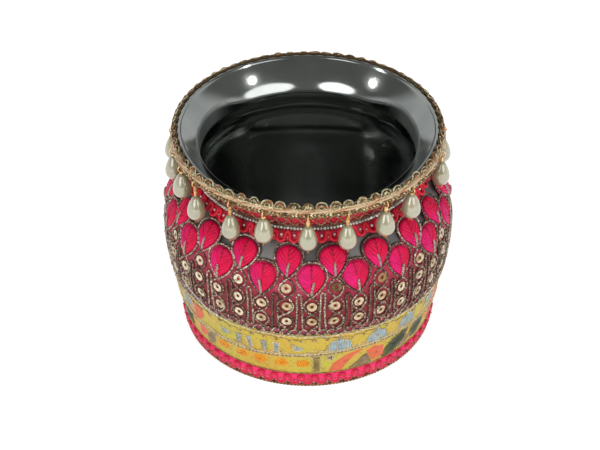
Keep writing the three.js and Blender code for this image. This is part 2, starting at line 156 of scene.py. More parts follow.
# mesh building
class Soup:
    """Vertices in mm with an info value each (a tone, a length, a relief), and their faces."""

    def __init__(self):
        self.verts, self.info, self.quads, self.tris, self.count = [], [], [], [], 0

    def add(self, verts, info, *faces):
        verts = np.asarray(verts, float).reshape(-1, 3)
        self.verts.append(verts)
        self.info.append(np.broadcast_to(np.asarray(info, float).reshape(-1, 3), (len(verts), 3)))
        for part in faces:
            (self.quads if part.shape[1] == 4 else self.tris).append(part + self.count)
        self.count += len(verts)

    def copies(self, verts, faces, places, axes, tones, relief=0.0):
        """A template at many places; axes holds one 3x3 matrix for each, its columns x, y and z."""
        points = np.einsum("nij,kj->nki", axes, verts) + np.asarray(places)[:, None, :]
        n, k = points.shape[:2]
        info = np.zeros((n, k, 3))
        info[:, :, 0] = np.asarray(tones)[:, None]
        info[:, :, 2] = relief
        shift = (np.arange(n) * k)[:, None, None]
        self.add(points, info, (faces[None] + shift).reshape(-1, faces.shape[1]))

    def dome(self, middle, rings, under, info, middle_info, under_info):
        """A pad: one middle vertex, rings of vertices outwards, and a last ring under its edge."""
        count, n = rings.shape[:2]
        verts = np.concatenate([middle, rings.reshape(-1, 3), under])
        info = np.concatenate([[middle_info], info.reshape(-1, 3), np.tile([under_info], (n, 1))])
        fan = np.stack([np.zeros(n, int), 1 + np.arange(n), 1 + (np.arange(n) + 1) % n], 1)
        self.add(verts, info, fan, (grid_faces(count + 1, n, wrap_cols=True) + 1)[:, ::-1])


def grid_faces(rows, cols, wrap_rows=False, wrap_cols=False):
    i = np.arange(rows if wrap_rows else rows - 1)
    j = np.arange(cols if wrap_cols else cols - 1)
    i, j = np.meshgrid(i, j, indexing="ij")
    i2, j2 = (i + 1) % rows, (j + 1) % cols
    return np.stack([i * cols + j, i2 * cols + j, i2 * cols + j2, i * cols + j2], -1).reshape(-1, 4)


def lengths_along(points):
    return np.concatenate([[0], np.cumsum(np.linalg.norm(np.diff(points, axis=0), axis=1))])


def resampled(points, normals, step, closed):
    if closed:
        points, normals = np.vstack([points, points[:1]]), np.vstack([normals, normals[:1]])
    length = lengths_along(points)
    n = max(4, int(round(length[-1] / step)))
    at = np.linspace(0, length[-1], n + 1)[: n if closed else n + 1]
    new = [np.stack([np.interp(at, length, a[:, k]) for k in range(3)], 1) for a in (points, normals)]
    return new[0], new[1] / np.linalg.norm(new[1], axis=1)[:, None], at


def tube(soup, path, radius, step=0.3, sides=6, closed=False, lobes=0, pitch=1.6, depth=0.25,
         flat=1.0, phase=0.0, ripple=None, taper=0.0, tone=0.0):
    """A cord along points and normals. Lobes turn like plies; a ripple rings it like coiled wire."""
    points = np.asarray(path[0], float)
    p, n, s = resampled(points, np.broadcast_to(path[1], points.shape), step, closed)
    if closed:
        t = np.roll(p, -1, 0) - np.roll(p, 1, 0)
        pitch = s[-1] * (1 + 1 / len(s)) / max(1, round(s[-1] / pitch))
    else:
        t = np.gradient(p, axis=0)
    t /= np.linalg.norm(t, axis=1)[:, None] + 1e-12
    side = np.cross(t, n)
    side /= np.linalg.norm(side, axis=1)[:, None] + 1e-12
    up = np.cross(side, t)
    phi = np.linspace(0, TAU, sides, endpoint=False)
    r = np.full((len(s), sides), float(radius))
    relief = np.ones_like(r)
    if lobes:
        turn = np.cos(lobes * (phi[None] - TAU * s[:, None] / pitch - phase))
        r *= 1 + depth * turn
        relief = 0.5 + 0.5 * turn
    if ripple:
        wave = np.cos(TAU * s / ripple[0])[:, None] + 0 * r
        r *= 1 + ripple[1] * wave
        relief = 0.5 + 0.5 * wave
    if taper and not closed:
        ends = np.minimum(s, s[-1] - s)
        r *= np.clip(0.35 + 0.65 * ends / taper, 0.35, 1)[:, None]
    verts = (p[:, None] + side[:, None] * (r * np.sin(phi))[..., None]
             + up[:, None] * (r * np.cos(phi) * flat)[..., None])
    info = np.stack([np.full_like(r, tone), np.broadcast_to(s[:, None], r.shape), relief], -1)
    faces = [grid_faces(len(s), sides, wrap_rows=closed, wrap_cols=True)]
    if not closed:
        fan = np.array([[0, i, i + 1] for i in range(1, sides - 1)])
        faces += [fan, fan[:, ::-1] + (len(s) - 1) * sides]
    soup.add(verts, info, *faces)


def make(name, soup, material, replaces=(), body="pot", smooth=True):
    """One mesh object from a soup, riding on its body."""
    verts = np.concatenate(soup.verts) * MM
    quads = np.concatenate(soup.quads or [np.zeros((0, 4), int)])
    tris = np.concatenate(soup.tris or [np.zeros((0, 3), int)])
    mesh = bpy.data.meshes.new(name)
    mesh.vertices.add(len(verts))
    mesh.vertices.foreach_set("co", verts.astype(np.float32).ravel())
    loops = np.concatenate([quads.ravel(), tris.ravel()]).astype(np.int32)
    starts = np.concatenate([np.arange(len(quads)) * 4, len(quads) * 4 + np.arange(len(tris)) * 3])
    mesh.loops.add(len(loops))
    mesh.loops.foreach_set("vertex_index", loops)
    mesh.polygons.add(len(starts))
    mesh.polygons.foreach_set("loop_start", starts.astype(np.int32))
    mesh.update(calc_edges=True)
    info = mesh.attributes.new("info", "FLOAT_VECTOR", "POINT")
    info.data.foreach_set("vector", np.concatenate(soup.info).astype(np.float32).ravel())
    mesh.polygons.foreach_set("use_smooth", np.full(len(starts), smooth))
    mesh.validate()
    mesh.materials.append(material)
    obj = bpy.data.objects.new(name, mesh)
    scene.collection.objects.link(obj)
    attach(obj, body)
    if replaces:
        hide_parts(*replaces)


# materials
def rgba(colour):
    """A linear colour, from three sRGB bytes, a linear grey or four linear values."""
    if isinstance(colour, (int, float)):
        return (colour, colour, colour, 1)
    if len(colour) == 4:
        return colour

    def linear(c):
        c /= 255
        return c / 12.92 if c <= 0.04045 else ((c + 0.055) / 1.055) ** 2.4

    return (*(linear(c) for c in colour), 1)


class Nodes:
    """Shorthands for the nodes of a tree."""

    def __init__(self, tree):
        self.tree = tree

    def feed(self, socket, value):
        if isinstance(value, bpy.types.NodeSocket):
            self.tree.links.new(value, socket)
        else:
            socket.default_value = value

    def node(self, kind, **values):
        """A node; values go to its inputs by name or number (i0, i1), others to the node itself."""
        node = self.tree.nodes.new("ShaderNode" + kind)
        for key, value in values.items():
            if key in node.inputs:
                self.feed(node.inputs[key], value)
            elif key[1:].isdigit():
                self.feed(node.inputs[int(key[1:])], value)
            else:
                setattr(node, key, value)
        return node

    def math(self, operation, a, b=0.0):
        return self.node("Math", operation=operation, i0=a, i1=b).outputs[0]

    def plus(self, a, b):
        return self.math("ADD", a, b)

    def times(self, a, b):
        return self.math("MULTIPLY", a, b)

    def wave(self, value, period):
        return self.math("SINE", self.times(value, TAU / period))

    def ramp(self, value, *stops):
        """A colour or grey between stops of a place and a colour."""
        node = self.node("ValToRGB", Fac=value)
        elements = node.color_ramp.elements
        while len(elements) < len(stops):
            elements.new(0.5)
        for element, (at, colour) in zip(elements, stops):
            element.position, element.color = at, rgba(colour)
        return node.outputs["Color"]

    def mix(self, factor, a, b, blend="MIX"):
        a, b = (c if isinstance(c, bpy.types.NodeSocket) else rgba(c) for c in (a, b))
        return self.node("Mix", data_type="RGBA", blend_type=blend, i0=factor, i6=a, i7=b).outputs[2]

    def shaded(self, base, shade):
        return self.mix(1.0, base, shade, "MULTIPLY")


class Finish(Nodes):
    """A surface material; the sockets of its shader are named with _ for each space."""

    def __init__(self, name, **sockets):
        self.material = bpy.data.materials.new(name)
        self.material.use_nodes = True
        super().__init__(self.material.node_tree)
        self.shader = self.tree.nodes["Principled BSDF"]
        for key, value in sockets.items():
            self.shader.inputs[key.replace("_", " ")].default_value = value
        self.place = self.node("TexCoord").outputs["Object"]
        self.normal = None

    def noise(self, scale, detail=2.0, vector=None):
        vector = vector or self.place
        return self.node("TexNoise", Vector=vector, Scale=scale, Detail=detail, Roughness=0.5).outputs["Fac"]

    def info(self):
        """Tone, length along the thread in mm, and relief from 0 in a hollow to 1 on a crest."""
        vector = self.node("Attribute", attribute_name="info").outputs["Vector"]
        return self.node("SeparateXYZ", Vector=vector).outputs

    def colour(self, socket):
        self.feed(self.shader.inputs["Base Color"], socket)

    def rough(self, socket):
        self.feed(self.shader.inputs["Roughness"], socket)

    def relief(self, height, strength, distance=0.0001):
        """Adds a bump, after those before it."""
        bump = self.node("Bump", Height=height, Strength=strength, Distance=distance)
        if self.normal:
            self.feed(bump.inputs["Normal"], self.normal)
        self.normal = bump.outputs["Normal"]
        self.feed(self.shader.inputs["Normal"], self.normal)


def thread_finish(name, dark, middle, light, metallic, roughness, grain=2600, hollow=0.45, blush=None,
                  stops=(0.3, 0.44, 0.6)):
    """Twisted or wrapped thread: painted shade in its hollows, fine fibres, and painted glints and painted
    shade in its grain.
    """
    f = Finish(name, Metallic=metallic)
    tone, _, relief = f.info()
    value = f.plus(f.times(f.noise(grain, 3), 0.75), f.times(tone, 0.3))
    # the grain's light end is painted glints, and its dark end is partly painted shade in the gaps between
    # fibres
    base = f.ramp(value, *zip(stops, (dark, middle, light)))
    if blush:
        base = f.mix(f.ramp(f.noise(520), (0.5, 0.0), (0.62, 0.75)), base, blush)
    # hollow sets how dark the hollows of the plies are painted: painted shade
    f.colour(f.shaded(base, f.ramp(relief, (0.0, hollow), (0.55, 1.0))))
    f.rough(f.ramp(f.noise(grain * 0.7), (0.3, roughness - 0.12), (0.7, roughness + 0.12)))
    f.relief(f.noise(grain * 1.6), 0.6)
    return f.material


SILK_GRAIN = 1900


def silk_finish(name, dark, middle, light, hollow, sheen):
    f = Finish(name, Roughness=0.5, Sheen_Weight=sheen, Sheen_Roughness=0.4)
    tone, _, relief = f.info()
    value = f.plus(f.times(f.noise(SILK_GRAIN, 3), 0.8), f.times(tone, 0.3))
    base = f.ramp(value, (0.25, dark), (0.5, middle), (0.75, light))
    # painted shade in the hollows of the cord, set by hollow
    f.colour(f.shaded(base, f.ramp(relief, (0.0, hollow), (0.6, 1.0))))
    f.relief(f.noise(SILK_GRAIN * 1.5), 0.45)
    return f.material


def steel_finish():
    """Pressed steel: spun rings, a brushed haze and water spots."""
    f = Finish("steel", Metallic=1.0)
    x, y, z = f.node("SeparateXYZ", Vector=f.place).outputs
    radius = f.math("SQRT", f.plus(f.times(x, x), f.times(y, y)))
    rings = f.node("CombineXYZ", X=radius, Y=z, Z=f.times(f.noise(9, 1), 0.002)).outputs[0]
    spun = f.noise(1500, 2, vector=rings)
    bright = f.ramp(f.noise(42, 4), (0.3, (150, 154, 152)), (0.6, (172, 175, 172)), (0.8, (158, 161, 159)))
    outer_steel, hazed, _ = f.info()
    # the outside of the steel, seen between the petals and trims, gets a darker colour and more roughness
    f.colour(f.mix(outer_steel, bright, (98, 96, 94)))
    haze = f.plus(f.times(f.noise(60, 3), 0.14), f.times(spun, 0.06))
    cells = f.node("TexVoronoi", Vector=f.place, Scale=420, feature="F1").outputs["Distance"]
    gloss = f.plus(f.ramp(haze, (0.0, 0.08), (0.22, 0.2)), f.ramp(cells, (0.0, 0.16), (0.12, 0.0)))
    f.rough(f.plus(gloss, f.plus(f.times(outer_steel, 0.3), f.times(hazed, 0.42))))
    f.relief(spun, 0.025)
    f.relief(f.noise(55), 0.06, 0.0006)
    return f.material


def petal_finish():
    """Padded satin stitch: threads slant up from the stem, with a painted sheen between red and magenta."""
    f = Finish("petal_silk", Roughness=0.45, Sheen_Weight=0.03, Sheen_Roughness=0.35,
               Specular_IOR_Level=0.25)
    turn, slant, relief = f.info()
    # painted sheen: the colour turns from red to magenta round each petal
    base = f.ramp(turn, (0.0, (248, 4, 78)), (0.45, (252, 6, 90)), (0.75, (254, 12, 108)),
                  (1.0, (255, 22, 126)))
    wander = f.times(f.noise(700), 3.5)
    strand = f.math("SINE", f.plus(f.times(slant, TAU / 0.62), wander))
    # painted shade in the creases, the cracks and the grooves between threads
    shade = f.ramp(relief, (0.0, (0.26, 0.06, 0.14, 1)), (0.3, (0.74, 0.6, 0.7, 1)), (0.7, 1.0))
    threads = f.ramp(f.plus(f.times(strand, 0.5), 0.5), (0.0, 0.66), (0.45, 1.0))
    patchy = f.ramp(f.noise(260), (0.3, 0.86), (0.7, 1.1))
    f.colour(f.shaded(f.shaded(f.shaded(base, shade), threads), patchy))
    f.relief(strand, 0.5)
    return f.material


def net_finish():
    """Maroon net over a shiny lining: a diagonal mesh, paler and pinker near its upper edge, where the
    steel's sheen through it is painted.
    """
    f = Finish("net_cloth", Roughness=0.6, Sheen_Weight=0.08)
    length, height, _ = f.info()
    web = f.math("MAXIMUM", f.wave(f.plus(length, height), 0.75),
                 f.wave(f.math("SUBTRACT", length, height), 0.75))
    patch = f.noise(240, 3)
    low = f.ramp(patch, (0.3, (112, 8, 20)), (0.55, (148, 18, 32)), (0.75, (176, 40, 50)))
    # the paler pink of the upper ground is painted sheen of the steel lining through the net
    high = f.ramp(patch, (0.3, (172, 22, 56)), (0.55, (210, 46, 86)), (0.75, (222, 94, 124)))
    rise = f.times(f.math("SUBTRACT", height, 44.5), 1 / 7.0)
    ground = f.mix(f.math("MINIMUM", f.math("MAXIMUM", rise, 0.0), 1.0), low, high)
    f.colour(f.shaded(ground, f.ramp(web, (0.1, 0.5), (0.8, 1.0))))
    f.relief(web, 0.5)
    return f.material


def brocade_finish():
    """Yellow silk brocade: warp and weft, uneven dye and gold flecks."""
    f = Finish("brocade_silk", Roughness=0.5, Sheen_Weight=0.08)
    length, height, _ = f.info()
    base = f.ramp(f.noise(75, 4), (0.3, (226, 176, 44)), (0.5, (220, 192, 62)), (0.7, (206, 198, 62)))
    weave = f.plus(f.times(f.wave(height, 0.42), 0.25), f.times(f.wave(length, 0.5), 0.25))
    base = f.shaded(base, f.ramp(f.plus(weave, 0.5), (0.0, 0.86), (0.9, 1.04)))
    f.colour(f.mix(f.ramp(f.noise(900), (0.56, 0.0), (0.66, 0.55)), base, (150, 122, 52)))
    f.relief(f.plus(weave, f.noise(1500)), 0.5)
    return f.material


def motif_finish(name, dark, middle, light, roughness=0.5, groove=None, rim=None):
    """Woven satin figure: its stripes a thread wide, maybe of a second colour, and rays near its edge."""
    f = Finish(name, Roughness=roughness, Sheen_Weight=0.03, Specular_IOR_Level=0.3)
    reach, angle, relief = f.info()
    base = f.ramp(f.noise(420, 3), (0.3, dark), (0.5, middle), (0.72, light))
    if groove:
        base = f.mix(f.ramp(relief, (0.35, 1.0), (0.6, 0.0)), base, groove)
    if rim:
        ray = f.times(f.wave(angle, 1 / 11), 0.16)
        base = f.mix(f.ramp(f.plus(reach, ray), (0.4, 0.0), (0.85, 1.0)), base, rim)
    # painted shade in the grooves between stripes and at the figure's sunken edge
    f.colour(f.shaded(base, f.ramp(relief, (0.0, 0.7), (0.6, 1.0))))
    f.relief(f.noise(1700), 0.4)
    return f.material


def sequin_finish():
    f = Finish("sequin", Metallic=0.3)
    tone, _, relief = f.info()
    base = f.ramp(tone, (0.0, (70, 52, 28)), (0.12, (150, 112, 66)), (0.3, (204, 178, 134)),
                  (1.0, (246, 234, 206)))
    base = f.mix(f.ramp(f.noise(700, 3), (0.46, 0.0), (0.62, 0.75)), base, (150, 112, 62))
    # painted shadow round the rim and painted shade in the hole and under the edge
    rim = f.ramp(relief, (0.0, (0.12, 0.07, 0.04, 1)), (0.5, (0.6, 0.5, 0.4, 1)), (0.88, 1.0))
    f.colour(f.shaded(base, rim))
    f.rough(f.ramp(f.noise(900), (0.3, 0.28), (0.7, 0.45)))
    f.relief(f.noise(1400), 0.25)
    return f.material


def pearl_finish():
    """Nacre: a greenish ivory body with pinker patches, under a clear coat."""
    f = Finish("pearl", Roughness=0.28, Coat_Weight=1.0, Coat_Roughness=0.02, Coat_IOR=2.1)
    body = f.ramp(f.noise(160), (0.3, (154, 150, 116)), (0.5, (176, 170, 134)), (0.7, (164, 161, 128)))
    f.colour(f.mix(f.ramp(f.noise(90, 1), (0.52, 0.0), (0.7, 0.5)), body, (176, 150, 132)))
    f.relief(f.noise(420), 0.05, 0.0002)
    return f.material


def crystal_finish():
    f = Finish("crystal", Metallic=0.25, Coat_Weight=0.6, Coat_Roughness=0.05)
    f.colour(f.ramp(f.info()[0], (0.0, (150, 138, 122)), (0.35, (226, 220, 208)), (1.0, (255, 252, 244))))
    f.rough(f.ramp(f.noise(1500), (0.3, 0.08), (0.7, 0.22)))
    return f.material


steel = steel_finish()
# threads: the lightest tone of each grain is partly painted glints, the darkest partly painted shade in
# gaps, and hollow sets the painted shade in a cord's hollows
zari = thread_finish("zari_cord", (72, 46, 32), (172, 144, 118), (255, 250, 238), 0.4, 0.3, grain=1500,
                     hollow=0.3, stops=(0.38, 0.49, 0.62))
zari_fine = thread_finish("zari_fine", (132, 98, 54), (200, 172, 118), (250, 240, 206), 0.3, 0.36,
                          grain=1700, hollow=0.6, stops=(0.34, 0.5, 0.66))
zari_gold = thread_finish("zari_gold", (54, 36, 14), (142, 116, 66), (250, 242, 196), 0.4, 0.32, grain=1600,
                          hollow=0.22, blush=(188, 122, 80), stops=(0.38, 0.52, 0.68))
cord_gold = thread_finish("cord_gold", (104, 62, 26), (196, 146, 84), (250, 224, 166), 0.4, 0.34, grain=1500,
                          stops=(0.36, 0.5, 0.64))
# base of the rim braid, dark as painted shade in the gaps between its threads
zari_base_shade = thread_finish("zari_base_shade", (40, 26, 12), (92, 70, 38), (150, 126, 80), 0.3, 0.5)
lace_thread = thread_finish("lace_thread", (88, 44, 32), (156, 112, 84), (232, 196, 158), 0.35, 0.4)
peach = thread_finish("peach_thread", (190, 136, 92), (222, 176, 134), (246, 220, 184), 0.1, 0.42,
                      hollow=0.5)
copper = thread_finish("copper_wire", (170, 98, 48), (222, 156, 92), (248, 208, 146), 0.8, 0.26, hollow=0.5)
purl = thread_finish("purl_wire", (128, 108, 92), (204, 190, 172), (250, 244, 232), 0.6, 0.3, hollow=0.4)
pink = silk_finish("pink_silk", (206, 4, 52), (236, 12, 76), (252, 40, 112), 0.62, 0.06)
# the neck's pink: redder than the base gimp's, and brighter as painted light against the shade at the neck
neck_pink_lit = silk_finish("neck_pink_lit", (228, 2, 36), (250, 6, 56), (255, 24, 88), 0.66, 0.03)
red_silk = silk_finish("red_silk", (146, 4, 20), (184, 8, 30), (206, 22, 50), 0.5, 0.1)
red_pad = silk_finish("red_pad", (222, 4, 28), (246, 6, 38), (255, 26, 62), 0.62, 0.04)
dark_silk = silk_finish("dark_silk", (136, 6, 28), (172, 10, 40), (200, 24, 62), 0.6, 0.05)
border_silk = silk_finish("border_silk", (122, 20, 46), (158, 40, 66), (190, 84, 100), 0.9, 0.1)
petal_silk = petal_finish()
net_cloth = net_finish()
brocade_silk = brocade_finish()
sequin = sequin_finish()
pearl_nacre = pearl_finish()
crystal = crystal_finish()
blue = motif_finish("blue_motif", (112, 158, 176), (146, 188, 202), (190, 216, 222), groove=(186, 174, 152))
orange = motif_finish("orange_motif", (234, 132, 0), (248, 160, 0), (255, 190, 16), groove=(240, 142, 0))
coral = motif_finish("coral_motif", (236, 78, 50), (250, 98, 72), (254, 126, 96), groove=(232, 140, 90))
green = motif_finish("green_motif", (14, 32, 18), (30, 52, 28), (52, 72, 34), rim=(96, 100, 42))
olive = motif_finish("olive_motif", (124, 104, 42), (164, 142, 64), (196, 176, 96), groove=(96, 76, 30))
taupe = motif_finish("taupe_motif", (124, 98, 66), (160, 136, 96), (200, 182, 140), 0.38, (112, 88, 54))

# steel pot
POT_STEPS, LEG_STEPS = 240, 8
WALL_TOP = 61  # below this height the inside follows the outside
LIP_SAG = 2.2  # how far the steel lip lies below the tops of the scallops at the front
SAG_FROM, SAG_RISE = 77, 8
# inside of the lip and flare: where it starts, then legs of a length and of two slopes in degrees.
# It bends sharply at the sides and gently at the back.
SIDE_FLARE = ((46.2, 84.2), (0.3, 50, 45), (6.6, 38, 42), (2.0, 42, 82), (5.0, 85, 86))
BACK_FLARE = ((46.2, 84.5), (0.3, 50, 45), (8.3, 43, 51), (4.6, 51, 73), (0.3, 73, 80))
THROAT = [[39.85, 71.9], [40.0, 71.4], [40.1, 69.5], [40.3, 67.6], [40.9, 66.3], [42.2, 65.0], [44.6, 63.4]]


def inner_face(start, *legs):
    """Section of the inside from the lip to the throat."""
    points = [np.array(start, float)]
    for length, first, last in legs:
        for share in (np.arange(LEG_STEPS) + 0.5) / LEG_STEPS:
            slope = math.radians(first + share * (last - first))
            points.append(points[-1] - length / LEG_STEPS * np.array([math.cos(slope), math.sin(slope)]))
    return np.array(points)


def laid_in(az):
    """0 at the front, where the scallops stand up, to 1 at the sides and back, where they lie inwards."""
    off = np.abs((np.asarray(az, float) + 180) % 360 - 180)
    return np.interp(off, [42, 76], [0.0, 1.0])


def lip_arc(radius, a, b, n):
    t = np.linspace(a, b, n)
    return crown + radius * np.stack([np.cos(t), np.sin(t)], 1)


def steel_pot():
    soup = Soup()
    az = around(POT_STEPS)
    behind = np.abs(az - 180)
    floor_r = np.linspace(BASE_FLAT, 3, 14)[1:]
    low = np.stack([floor_r[::-1], 0 * floor_r], 1)
    high = np.stack([floor_r, WALL + 0 * floor_r], 1)
    skirt = POT_HEIGHT - LIP_SKIRT
    outer = np.vstack([
        low, outside, lip_arc(LIP_BEND - WALL, math.pi / 2 + FLARE, 0, 5)[1:],
        [[LIP_R - WALL, skirt], [LIP_R, skirt]], lip_arc(LIP_BEND, 0, math.pi / 2 + 0.5, 9),
    ])
    side, back = inner_face(*SIDE_FLARE), inner_face(*BACK_FLARE)
    to_back = np.interp(behind, [34, 66], [1.0, 0.0])
    to_back = to_back * to_back * (3 - 2 * to_back)
    inside = side + to_back[:, None, None] * (back - side)
    lower = np.vstack([THROAT, (outside - WALL * outside_n)[OUT_Z < WALL_TOP][::-1], high])
    section = np.concatenate([
        np.broadcast_to(outer, (POT_STEPS,) + outer.shape), inside,
        np.broadcast_to(lower, (POT_STEPS,) + lower.shape),
    ], 1)
    height = section[:, :, 1]
    height -= LIP_SAG * (1 - laid_in(az))[:, None] * np.clip((height - SAG_FROM) / SAG_RISE, 0, 1)
    k = section.shape[1]
    row = np.arange(k)
    # marks the outside of the steel, which is coloured darker and rougher
    outer_steel = np.broadcast_to(row < len(low) + len(outside), (POT_STEPS, k))
    # the foot of the flare is hazed at the sides and polished at the back
    hazed = (row > len(outer) + 2 * LEG_STEPS) & (row < len(outer) + inside.shape[1])
    hazed = hazed * np.interp(behind, [46, 62], [0.0, 1.0])[:, None]
    info = np.stack([outer_steel * 1.0, hazed, 0.0 * hazed], -1)
    points, _ = on_ring(az[:, None], section[:, :, 0], height)
    soup.add(points, info, grid_faces(POT_STEPS, k, wrap_rows=True))
    # both faces of the floor close on their middle
    step = np.arange(POT_STEPS)
    nxt = (step + 1) % POT_STEPS
    middle = np.full(POT_STEPS, soup.count)
    soup.tris.append(np.stack([nxt * k, step * k, middle], 1))
    soup.tris.append(np.stack([step * k + k - 1, nxt * k + k - 1, middle + 1], 1))
    soup.add([[0, 0, 0], [0, 0, WALL]], (0, 0, 0))
    return soup


make("pot_steel", steel_pot(), steel, ["pot_shell"])

# cloth bands
SEAT = 0.3  # gap between a trim and the steel
BROCADE_FOOT, BROCADE_TOP, NET_FOOT = 6.3, 29.2, 29.4
CLOTH_R = 52  # radius that lengths along a cloth are measured at


def cloth_band(foot, top, lift, rows, steps=300, ripple=0.0):
    """Closed cloth ring between two heights; its top may follow the azimuth."""
    az = around(steps)
    high = np.broadcast_to(top(az) if callable(top) else float(top), az.shape)
    share = np.linspace(0, 1, rows)
    z = foot + (high - foot)[:, None] * share
    angle = np.radians(az)[:, None]
    rough = ripple * (np.sin(angle * 23 + z * 0.5) + np.sin(angle * 41 - z * 0.9))
    edge = np.clip(np.minimum(share, 1 - share) * rows / 2, 0, 1)
    front, _ = on_pot(az[:, None], z, SEAT + (lift - SEAT) * (0.35 + 0.65 * edge) + rough * edge)
    back, _ = on_pot(az[:, None], z[:, ::-1], SEAT)
    height = np.concatenate([z, z[:, ::-1]], 1)
    info = np.stack([angle * CLOTH_R + 0 * height, height, 0 * height + 1], -1)
    faces = grid_faces(steps, 2 * rows, wrap_rows=True, wrap_cols=True)
    soup = Soup()
    soup.add(np.concatenate([front, back], 1), info, faces)
    return soup


cloth = cloth_band(BROCADE_FOOT, BROCADE_TOP, 0.9, 30, 520, 0.05)
make("brocade_cloth", cloth, brocade_silk, ["brocade_band"])

# net: petals and columns
PETALS = 19
PERIOD = 360 / PETALS
LOWER = {"az": 0.9, "tip": 47.9, "height": 11.5, "width": 10.3}
UPPER = {"az": -8.5, "tip": 54.7, "height": 9.8, "width": 9.8}
PETAL_R, NET_VALLEY = 46.5, 58.3  # pot's radius at the petals, and the net's edge between them
CORD_LIFT = 1.0

petals = []
for i in range(PETALS):
    for row in (LOWER, UPPER):
        lean = math.radians(rng.normal(0, 4.0))
        petals.append({
            "az": row["az"] + PERIOD * i + rng.normal(0, 0.35),
            "tip": row["tip"] + rng.normal(0, 0.25),
            "height": row["height"] * (1 + rng.normal(0, 0.02)),
            "width": row["width"] * (1 + rng.normal(0, 0.03)),
            "lean": lean,
            "upper": row is UPPER,
        })


def teardrop(theta):
    """x in -0.5..0.5 and y in 0..1 of a petal's outline, the tip at theta 0."""
    return np.sin(theta) * np.abs(np.sin(theta / 2)) ** 0.95 / 1.56, (1 - np.cos(theta)) / 2


def petal_place(petal, x, y):
    """Azimuth and height of a point of a petal, x and y in mm from its tip."""
    c, s = math.cos(petal["lean"]), math.sin(petal["lean"])
    z = petal["tip"] + y * c + x * s
    return beside(petal["az"], x * c - y * s, z), z


def net_top(az):
    """Upper edge of the net: it follows the tops of the petals' outlines."""
    z = np.full(np.shape(az), NET_VALLEY)
    for petal in petals:
        x = np.radians((az - petal["az"] + 180) % 360 - 180) * PETAL_R
        half = petal["width"] / 2 + 0.2
        top = petal["tip"] + petal["height"] * (0.62 + 0.38 * np.sqrt(np.clip(1 - (x / half) ** 2, 0, 1)))
        z = np.where(np.abs(x) < half, np.maximum(z, top - 0.1), z)
    return z


def petal_pad(soup, petal):
    """Padded satin petal, creased along its middle and at four cracks."""
    n_turn, n_ring = 112, 15
    theta = np.linspace(0, TAU, n_turn, endpoint=False)
    edge_x, edge_y = teardrop(theta)
    edge_x, edge_y = edge_x * petal["width"] * 0.9, edge_y * petal["height"] * 0.93 + 0.3
    middle_y = petal["height"] * 0.41
    rho = np.linspace(0, 1, n_ring)[1:, None]
    x, y = rho * edge_x, middle_y + rho * (edge_y - middle_y)
    # bundles of thread rise to both sides of the stem
    slant = y - 0.75 * np.abs(x) ** 1.15
    wave = 0.5 + 0.5 * np.cos(TAU * slant / 1.25 + 1.5 * np.sin(theta * 2 + petal["az"]) + rng.normal(0, 1))
    crease = np.exp(-((theta - math.pi) / 0.13) ** 2)
    for _ in range(4):
        crack = rng.uniform(0.5, TAU - 0.5)
        crease = np.maximum(crease, 0.8 * np.exp(-((theta - crack) / 0.06) ** 2))
    # relief is painted shade: darker in the middle crease, the cracks, between thread bundles and under the
    # edge
    relief = np.clip((0.3 + 0.7 * wave) * (1 - 0.85 * crease), 0, 1)
    fade = np.clip(rho / 0.4, 0, 1)
    lift = 0.86 + 1.0 * (1 - rho**2.4) ** 0.55
    lift = lift + 0.22 * (wave - 0.5) * fade - 0.4 * crease * fade * (1.05 - rho)
    # turn sets the painted sheen from red to magenta round the petal
    turn = 0.5 + 0.5 * np.cos(theta + 1.2 + 0.8 * np.sin(petal["az"]))
    info = np.stack([turn + 0 * rho, slant, relief * fade + (1 - fade) * 0.7], -1)
    az, z = petal_place(petal, x, y)
    points, _ = on_pot(az, z, lift)
    middle, _ = on_pot(*petal_place(petal, np.array([0.0]), np.array([middle_y])), 1.86)
    under, _ = on_pot(az[-1], z[-1], 0.4)
    soup.dome(middle, points, under, info, [0.5, 0, 0.6], [0.5, 0, 0.1])


def thread_line(soup, az, z, lift, radius=0.37, **options):
    """A couched cord on the pot, two-ply unless the options say otherwise."""
    settings = {"step": 0.24, "sides": 7, "lobes": 2, "pitch": 1.7, "depth": 0.28, "taper": 0.5}
    settings.update(options)
    tube(soup, on_pot(az, z, lift), radius, **settings)


def any_twist():
    """Tone and phase of one cord among many."""
    return {"tone": rng.uniform(0, 0.4), "phase": rng.uniform(0, 6)}


def petal_outline(soup, petal):
    """Outline, open at its tip where the two cords cross."""
    theta = np.linspace(0.12, TAU - 0.12, 90)
    x, y = teardrop(theta)
    az, z = petal_place(petal, x * (petal["width"] + 0.9), y * (petal["height"] + 0.5) - 0.1)
    thread_line(soup, az, z, CORD_LIFT + 0.16 * np.cos(theta / 2), **any_twist())


def petal_stem(soup, petal):
    """Purl wire up the middle of a petal."""
    bend, top = rng.normal(0, 0.5), petal["height"] * rng.uniform(0.48, 0.55)
    t = np.linspace(0, 1, 16)
    az, z = petal_place(petal, bend * t**2, 0.7 + t * (top - 0.7))
    lift = 1.25 + 0.95 * np.sin(t * math.pi / 2) ** 0.7
    thread_line(soup, az, z, lift, 0.46, lobes=0, ripple=(0.52, 0.2), step=0.13, sides=8, flat=0.8,
                taper=0.6)


net = cloth_band(NET_FOOT, net_top, 0.72, 26, 760, 0.03)
make("net_ground", net, net_cloth, ["embroidered_net"])
pads, stems, outlines = Soup(), Soup(), Soup()
for petal in petals:
    petal_pad(pads, petal)
    petal_outline(outlines, petal)
    petal_stem(stems, petal)
make("net_petals", pads, petal_silk)
make("net_petal_stems", stems, purl)

